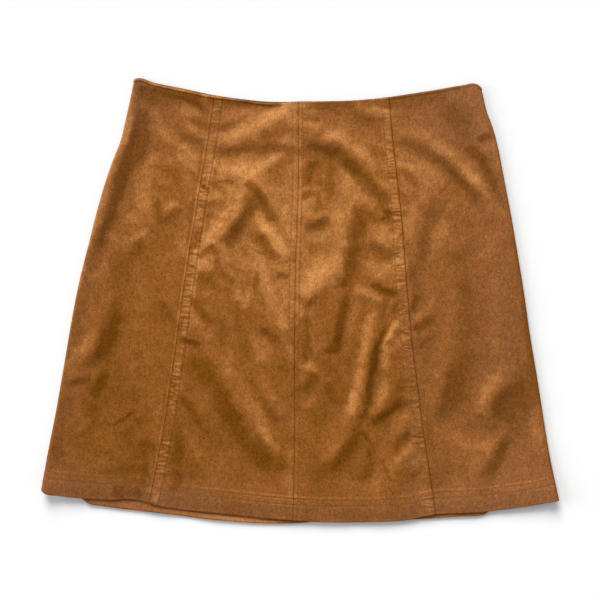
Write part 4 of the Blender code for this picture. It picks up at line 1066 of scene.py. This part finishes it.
def suede(name, group, dark, middle, light, dusty, lay, patches, mottle, flecks, grain):
    """Brushed suede: the nap's colour with its painted shade and light, its bump, and a soft sheen where the
    pile catches side light.
    """
    material = bpy.data.materials.new(name)
    material.use_nodes = True
    nodes, links = material.node_tree.nodes, material.node_tree.links
    shader = nodes["Principled BSDF"]
    painted_shade_and_nap = nodes.new("ShaderNodeGroup")
    painted_shade_and_nap.node_tree = group
    for kind, socket_name in (("painted_shade_and_nap", "PaintedShadeAndNap"), ("dust", "Dust")):
        attribute = nodes.new("ShaderNodeAttribute")
        attribute.attribute_name = kind
        links.new(attribute.outputs["Fac"], painted_shade_and_nap.inputs[socket_name])
    for socket_name, value in (("Dark", dark), ("Middle", middle), ("Light", light), ("Dusty", dusty),
                               ("Lay", lay), ("Patches", patches), ("Mottle", mottle), ("Flecks", flecks),
                               ("Grain", grain)):
        painted_shade_and_nap.inputs[socket_name].default_value = value
    bump = nodes.new("ShaderNodeBump")
    bump.inputs["Strength"].default_value = 0.5
    bump.inputs["Distance"].default_value = 0.0004
    links.new(painted_shade_and_nap.outputs["Color"], shader.inputs["Base Color"])
    links.new(painted_shade_and_nap.outputs["Roughness"], shader.inputs["Roughness"])
    links.new(painted_shade_and_nap.outputs["Height"], bump.inputs["Height"])
    links.new(bump.outputs["Normal"], shader.inputs["Normal"])
    shader.inputs["Specular IOR Level"].default_value = 0.03
    shader.inputs["Sheen Weight"].default_value = 0.10
    shader.inputs["Sheen Roughness"].default_value = 0.5
    shader.inputs["Sheen Tint"].default_value = linear(255, 190, 120)
    return material


def thread_finish(name, colour, shadow):
    """Matte spun thread: slanting ply lines from the piece's own map, with painted shade between them, as
    colour and bump.
    """
    material = bpy.data.materials.new(name)
    material.use_nodes = True
    nodes, links = material.node_tree.nodes, material.node_tree.links
    shader = nodes["Principled BSDF"]
    ply_map = nodes.new("ShaderNodeUVMap")
    ply_map.uv_map = "ply"
    turn = nodes.new("ShaderNodeMapping")
    turn.inputs["Scale"].default_value = (2.2, 1.0, 1.0)
    wave = nodes.new("ShaderNodeTexWave")
    wave.wave_type = "BANDS"
    wave.bands_direction = "DIAGONAL"
    wave.inputs["Scale"].default_value = 1.2
    wave.inputs["Distortion"].default_value = 0.6
    mix = nodes.new("ShaderNodeMix")
    mix.data_type = "RGBA"
    mix.inputs[6].default_value = shadow
    mix.inputs[7].default_value = colour
    bump = nodes.new("ShaderNodeBump")
    bump.inputs["Strength"].default_value = 0.5
    bump.inputs["Distance"].default_value = 0.0001
    links.new(ply_map.outputs["UV"], turn.inputs["Vector"])
    links.new(turn.outputs["Vector"], wave.inputs["Vector"])
    links.new(wave.outputs["Fac"], mix.inputs[0])
    links.new(mix.outputs[2], shader.inputs["Base Color"])
    links.new(wave.outputs["Fac"], bump.inputs["Height"])
    links.new(bump.outputs["Normal"], shader.inputs["Normal"])
    shader.inputs["Roughness"].default_value = 0.72
    shader.inputs["Specular IOR Level"].default_value = 0.3
    shader.inputs["Sheen Weight"].default_value = 0.1
    return material


PAINTED_SHADE_AND_NAP_GROUP = painted_shade_and_nap_colour()
# Dark and light: the suede's colour in painted shade and in painted light, and in its darker and lighter nap
# marks.
SUEDE = suede("brushed_suede", PAINTED_SHADE_AND_NAP_GROUP, linear(102, 58, 8), linear(132, 80, 33), linear(182, 122, 67),
              linear(134, 87, 58), lay=0.9, patches=0.5, mottle=0.42, flecks=0.72, grain=2.0)
# The thread's colour, and the painted shade between its plies.
THREAD = thread_finish("sewing_thread", linear(170, 108, 52), linear(114, 66, 24))


# Pieces

sewn_rows = {"stitches_princess_left": [], "stitches_centre_left": [], "stitches_centre_right": [],
             "stitches_princess_right": [], "stitches_hem_front": [], "stitches_hem_back": []}


def row_down(left, right, from_left, from_right, share):
    """A line down a front panel's face, at a fixed place across it."""
    columns = ([0, from_left, 0], [0, from_right, 0], [0, share, 0.5])
    _, base, out, relief, *_ = front_face(left, right, columns, LONG_ROWS)
    return (base + out * relief[..., None])[1], out[1]


def rows_round(face, out, hem_rows, spare):
    """Both hem rows across a panel's face, stopping `spare` columns short of its seams."""
    rows = [-1 - int(np.argmin(np.abs(hem_rows - row))) for row in (ROW_HIGH, ROW_LOW)]
    return [(face[spare:-spare, at], out[spare:-spare, at]) for at in rows]


for name, node, left, right, middle, width, length, filled in FRONT_PANELS:
    columns = across(edge_columns(left, True), middle, edge_columns(right, False))
    place, base, out, relief, wall, shade, dusty = front_face(left, right, columns)
    piece = shell(name, place, base, out, relief, wall, shade, dusty, SUEDE)
    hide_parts(node)
    sewn_rows["stitches_hem_front"] += rows_round(base + out * relief[..., None], out, HEM_ROWS, spare=2)

for name, left, right, from_left, from_right, share in (
        ("stitches_princess_left", LEFT_PRINCESS, CENTRE, STRIP, 0, 0),
        ("stitches_centre_left", LEFT_PRINCESS, CENTRE, 0, CENTRE_ROW_LEFT, 1),
        ("stitches_centre_right", CENTRE, RIGHT_PRINCESS, CENTRE_ROW_RIGHT, 0, 0),
        ("stitches_princess_right", CENTRE, RIGHT_PRINCESS, 0, STRIP, 1)):
    sewn_rows[name].append(row_down(left, right, from_left, from_right, share))

width, length, filled = BACK_PANEL
place, base, out, relief, wall, shade, dusty = back_face(across(ROLL, 150, ROLL), BACK_ROWS)
back = shell("suede_back", place, base, out, relief, wall, shade, dusty, SUEDE)
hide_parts("back")
sewn_rows["stitches_hem_back"] += rows_round(base + out * relief[..., None], out, BACK_HEM_ROWS, spare=3)

for name, rows in sewn_rows.items():
    piece = sewing(name, rows, THREAD)


# Studio

def window(name, left_of_up, elevation, spread, strength, colour):
    """A broad even light from far off: degrees left of the waist's way, above the table, and across."""
    light = bpy.data.lights.new(name, "SUN")
    light.angle = math.radians(spread)
    light.energy = strength
    light.color = colour
    level = math.cos(math.radians(elevation))
    way = Vector((-level * math.sin(math.radians(left_of_up)), level * math.cos(math.radians(left_of_up)),
                  math.sin(math.radians(elevation))))
    thing = bpy.data.objects.new(name, light)
    thing.location = way * 2
    thing.rotation_mode = "QUATERNION"
    thing.rotation_quaternion = way.to_track_quat("Z", "Y")
    bpy.context.scene.collection.objects.link(thing)


def table_top(radius=6.0, drop=0.0002, sides=96, white=0.768):
    """The plain pale table under the skirt: a wide disc just below it. Radius and drop are in metres."""
    angle = 2 * np.pi * np.arange(sides) / sides
    rim = np.stack([radius * np.cos(angle), radius * np.sin(angle), np.full(sides, -drop)], -1)
    mesh = bpy.data.meshes.new("table_top")
    mesh.from_pydata(rim.tolist(), [], [list(range(sides))])
    material = bpy.data.materials.new("white_table")
    material.use_nodes = True
    shader = material.node_tree.nodes["Principled BSDF"]
    shader.inputs["Base Color"].default_value = (white, white, white, 1.0)
    shader.inputs["Roughness"].default_value = 0.85
    shader.inputs["Specular IOR Level"].default_value = 0.1
    mesh.materials.append(material)
    top = bpy.data.objects.new("table_top", mesh)
    bpy.context.scene.collection.objects.link(top)


scene = bpy.context.scene
scene.view_settings.view_transform = "Standard"
scene.view_settings.look = "None"
table_top()
window("window", left_of_up=14.0, elevation=33.0, spread=34.0, strength=4.05, colour=(1.0, 0.985, 0.96))
window("far_window", left_of_up=80.0, elevation=24.0, spread=40.0, strength=1.5, colour=(0.96, 0.98, 1.0))
world = bpy.data.worlds.new("studio")
world.use_nodes = True
room = world.node_tree.nodes["Background"]
room.inputs["Color"].default_value = (0.95, 0.975, 1.0, 1.0)
room.inputs["Strength"].default_value = 0.44
scene.world = world

LENS, SENSOR = 85.0, 36.0
FRAME_WIDTH = 0.6305        # width of the table that the camera sees, in metres
CAMERA_SHIFT = 0.0005       # how far the camera stands towards the waist, in metres
camera = bpy.data.cameras.new("camera")
camera.lens, camera.sensor_width = LENS, SENSOR
eye = bpy.data.objects.new("camera", camera)
eye.location = (0.0, CAMERA_SHIFT, FRAME_WIDTH * LENS / SENSOR)
scene.collection.objects.link(eye)
scene.camera = eye
